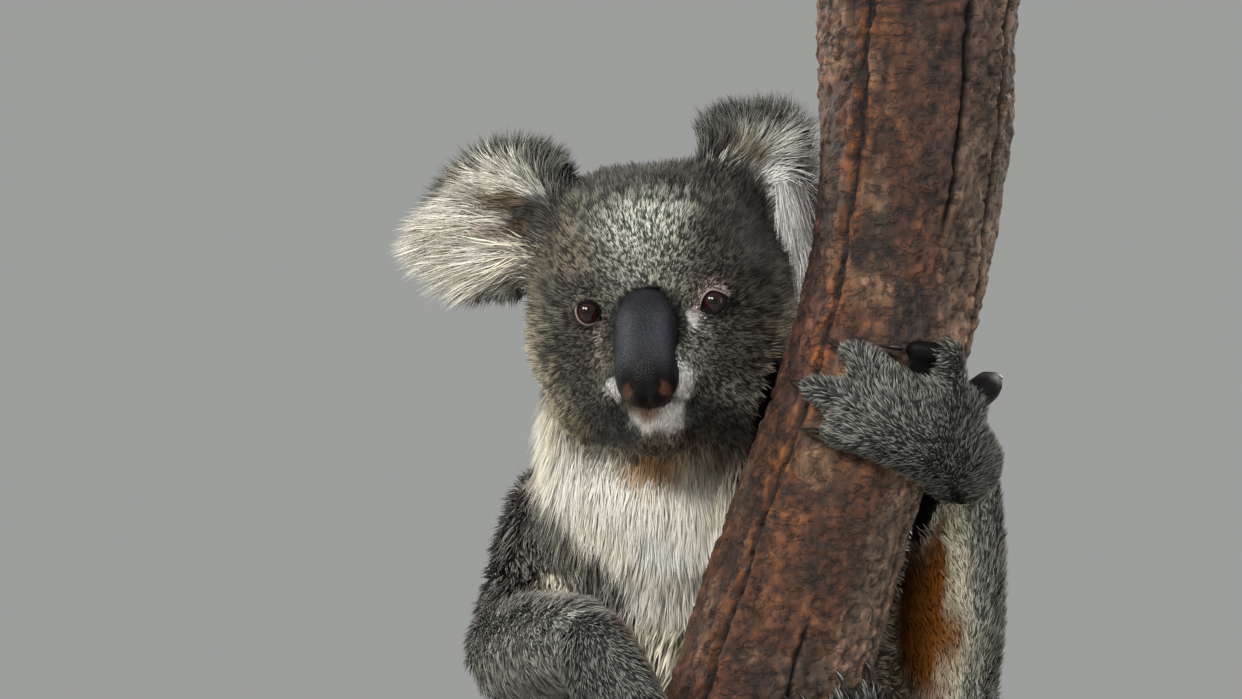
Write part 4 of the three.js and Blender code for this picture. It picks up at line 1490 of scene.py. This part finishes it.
def bark_material():
    """Rough bark, with fine cracks and fibres beyond what its mesh holds, and painted shade along the cracks.
    """
    paint = Paint("bark")
    drawn = {"Vector": paint.place((1, 1, 0.4)), "Scale": 300.0, "Detail": 8.0, "Roughness": 0.75}
    fibres = paint.add("TexNoise", drawn)
    cracks = creases(paint, paint.place((1, 1, 2.0)), 60.0, 0.05)
    cracks = paint.math("MINIMUM", cracks, creases(paint, paint.place((1, 1, 1.5)), 150.0, 0.06))
    # Shade: random tone from the fibres, times painted shade along the creases.
    shade = paint.math("MULTIPLY", paint.ranged(fibres, (0.3, 0.7), (0.3, 1.75)), cracks)
    rough = paint.bump(fibres, 0.9, 1.8 * MM)
    return paint.done({
        "Base Color": paint.scaled(paint.tint(), shade),
        "Normal": paint.bump(cracks, 0.7, 0.9 * MM, Normal=rough), "Roughness": 0.62,
    })


def cut_wood_material(centre):
    """Sawn wood with growth rings round the trunk's middle."""
    paint = Paint("cut wood")
    rings = paint.add(
        "TexWave",
        {"Vector": paint.place(shift=(-centre[0], -centre[1], 0)), "Scale": 45.0, "Distortion": 5.0,
         "Detail": 3.0, "Detail Scale": 0.5},
        "Fac", wave_type="RINGS", rings_direction="Z",
    )
    colour = paint.ramp(rings, (0.2, tone(150, 108, 74)), (0.8, tone(196, 158, 116)))
    return paint.done({"Base Color": colour, "Roughness": 0.7})


def perch():
    """The cut length of trunk: bark all round and sawn wood at both ends."""
    low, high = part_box("perch")
    heights = np.linspace(low.z, high.z, int((high.z - low.z) / BARK_ROW))
    turns = np.linspace(0, 2 * math.pi, AROUND, endpoint=False)
    rows = len(heights)
    outward = np.column_stack([np.sin(turns), -np.cos(turns), 0 * turns])
    centres = perch_middle(heights)[:, None]
    places = (centres + bark_radii(turns, heights)[:, :, None] * outward).reshape(-1, 3)
    all_turns = np.tile(turns, rows)
    relief, *marks = bark_relief(places, all_turns, np.repeat((heights - low.z) / (high.z - low.z), AROUND))
    places = places + relief[:, None] * np.tile(outward, (rows, 1))
    colour = bark_colour(places, all_turns, relief, *marks)
    rings = places.reshape(rows, AROUND, 3)
    insets = np.array(CUT_INSETS)[:, None, None]
    bottom, top = (centres[end] + (rings[end] - centres[end]) * insets for end in (0, -1))
    mesh = lofted("perch_bark", np.concatenate([bottom[::-1], rings, top]))
    wood = np.tile(CUT_WOOD, (len(insets) * AROUND, 1))
    painted(mesh, np.concatenate([wood, colour, wood]))
    mesh.materials.append(bark_material())
    mesh.materials.append(cut_wood_material(centres[-1, 0]))
    row_of_face = np.arange(len(mesh.polygons)) // AROUND
    bark = (row_of_face >= len(insets)) & (row_of_face < len(insets) + rows - 1)
    mesh.polygons.foreach_set("material_index", (~bark).astype(int))
    piece("perch_bark", mesh, ["perch"], smooth=bark)


# ---------------------------------------------------------------- the stand

LATHE_STEPS = 128


def spokes(count):
    """Level directions, evenly all round."""
    turns = np.linspace(0, 2 * math.pi, count, endpoint=False)
    return np.column_stack([np.cos(turns), np.sin(turns), 0 * turns])


def turned(name, profile, centre, material, replaced):
    """A shape turned on a lathe: a profile of radii and heights, round an upright axis."""
    rings = [np.array((*centre, height)) + radius * spokes(LATHE_STEPS) for radius, height in profile]
    mesh = lofted(name, np.array(rings))
    mesh.materials.append(material)
    piece(name, mesh, replaced)
    mesh.set_sharp_from_angle(angle=math.radians(35))


def rounded_edge(radius, height, size, rising):
    """Points of a quarter-round edge at a radius and height. A rising one starts a profile from below, and
    the other one ends it, going in."""
    turns = np.linspace(0, math.pi / 2, 7)
    if rising:
        return [(radius - size * (1 - math.sin(t)), height + size * (1 - math.cos(t))) for t in turns]
    return [(radius - size * (1 - math.cos(t)), height - size * (1 - math.sin(t))) for t in turns]


def wood_material():
    """Dark stained wood with straight grain."""
    paint = Paint("stand wood")
    drawn = {"Vector": paint.place((1, 14, 14)), "Scale": 9.0, "Detail": 7.0, "Roughness": 0.62}
    grain = paint.add("TexNoise", {**drawn, "Distortion": 0.6})
    colour = paint.ramp(grain, (0.3, tone(44, 28, 20)), (0.52, tone(82, 54, 36)), (0.7, tone(112, 78, 52)))
    return paint.done({"Base Color": colour, "Normal": paint.bump(grain, 0.15, 0.5 * MM), "Roughness": 0.38})


def steel_material():
    """Brushed steel."""
    paint = Paint("stand steel")
    brushed = paint.add("TexNoise", {"Vector": paint.place((1, 1, 30)), "Scale": 90.0, "Detail": 4.0})
    return paint.done({
        "Base Color": paint.ramp(brushed, (0.2, tone(150, 150, 152)), (0.8, tone(186, 186, 188))),
        "Roughness": paint.ranged(brushed, (0.0, 1.0), (0.24, 0.42)), "Metallic": 1.0,
    })


def stand():
    """A round wooden base, and a steel rod with a collar that carries the perch."""
    low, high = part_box("stand_base")
    profile = rounded_edge((high.x - low.x) / 2, low.z, 1.5 * MM, True)
    profile += rounded_edge((high.x - low.x) / 2, high.z, 5 * MM, False)
    turned("base_disc", profile, middle("stand_base")[:2], wood_material(), ["stand_base"])
    low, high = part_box("stand_rod")
    centre = middle("stand_rod")[:2]
    points = welded("stand_rod")[0]
    collar = (high.x - low.x) / 2
    spread = np.linalg.norm(points[:, :2] - centre, axis=1)
    rod = spread[points[:, 2] > (low.z + high.z) / 2].max()
    collar_top = points[spread > 0.9 * collar][:, 2].max()
    profile = rounded_edge(collar, low.z, 1 * MM, True)
    profile += rounded_edge(collar, collar_top, 2.5 * MM, False)
    profile += [(rod, collar_top), (rod, high.z)]
    turned("rod_steel", profile, centre, steel_material(), ["stand_rod"])


# ---------------------------------------------------------------- stage, light and camera

VIEW_DISTANCE = 3.0
VIEW_WIDTH = 0.596        # how much the picture spans at the head
VIEW_FROM_HEAD = (-19 * MM, -19 * MM)  # the picture's middle, across and up from the head's
SENSOR = 36.0             # the camera's own width, in mm
FLOOR_RADIUS, FLOOR_STEPS = 2.1, 128
FLOOR_COLOUR = (0.42, 0.42, 0.41, 1)
SKY_COLOUR, SKY_STRENGTH = (0.80, 0.82, 0.80, 1), 0.42

# Soft lights that look at the head: where each is, its sides, its power in watts and how white it is, from
# 0 to 1.
LIGHTS = {
    "key_left": ((-1.75, -1.9, 2.1), (0.7, 0.65), 42, 1.0),
    "key_right": ((-0.85, -2.45, 2.1), (0.7, 0.65), 42, 1.0),
    "fill": ((2.5, -1.1, 1.0), (1.6, 1.6), 11, 1.0),
    "rim_left": ((-1.6, 1.6, 1.6), (1.2, 1.2), 45, 0.9),
    "rim_right": ((1.5, 1.7, 1.9), (1.2, 1.2), 45, 0.9),
}


def floor():
    """A wide pale floor, which isn't part of the object."""
    mesh = built("floor", spokes(FLOOR_STEPS) * FLOOR_RADIUS, [range(FLOOR_STEPS)])
    mesh.materials.append(Paint("pale floor").done({"Base Color": FLOOR_COLOUR, "Roughness": 0.8}))
    linked("floor", mesh)


def surroundings():
    """Soft even light from all round."""
    world = bpy.data.worlds.new("pale room")
    world.use_nodes = True
    sky = world.node_tree.nodes["Background"]
    sky.inputs["Color"].default_value = SKY_COLOUR
    sky.inputs["Strength"].default_value = SKY_STRENGTH
    bpy.context.scene.world = world
    bpy.context.scene.view_settings.view_transform = "Standard"


def soft_light(name, place, size, power, whiteness):
    """One of the soft lights."""
    data = bpy.data.lights.new(name, "AREA")
    data.shape = "RECTANGLE"
    data.size, data.size_y = size
    data.energy = power
    data.color = (1.0, 0.5 + 0.5 * whiteness, whiteness)
    obj = linked(name, data)
    obj.location = place
    obj.rotation_euler = (Vector(HEAD_AT) - obj.location).to_track_quat("-Z", "Y").to_euler()


def camera():
    """A long lens, level, looking along +Y."""
    data = bpy.data.cameras.new("camera")
    data.sensor_width = SENSOR
    data.lens = SENSOR * VIEW_DISTANCE / VIEW_WIDTH
    obj = linked("camera", data)
    across, up = VIEW_FROM_HEAD
    obj.location = (HEAD_AT[0] + across, HEAD_AT[1] - VIEW_DISTANCE, HEAD_AT[2] + up)
    obj.rotation_euler = (math.pi / 2, 0, 0)
    bpy.context.scene.camera = obj


# ---------------------------------------------------------------- everything

floor()
surroundings()
for name, settings in LIGHTS.items():
    soft_light(name, *settings)
camera()
body()
eye_finish = eye_material()
for side in SIDES:
    eye(side, eye_finish)
nose()
horn = claw_material()
for paw in PAWS:
    claws(paw, horn)
perch()
stand()
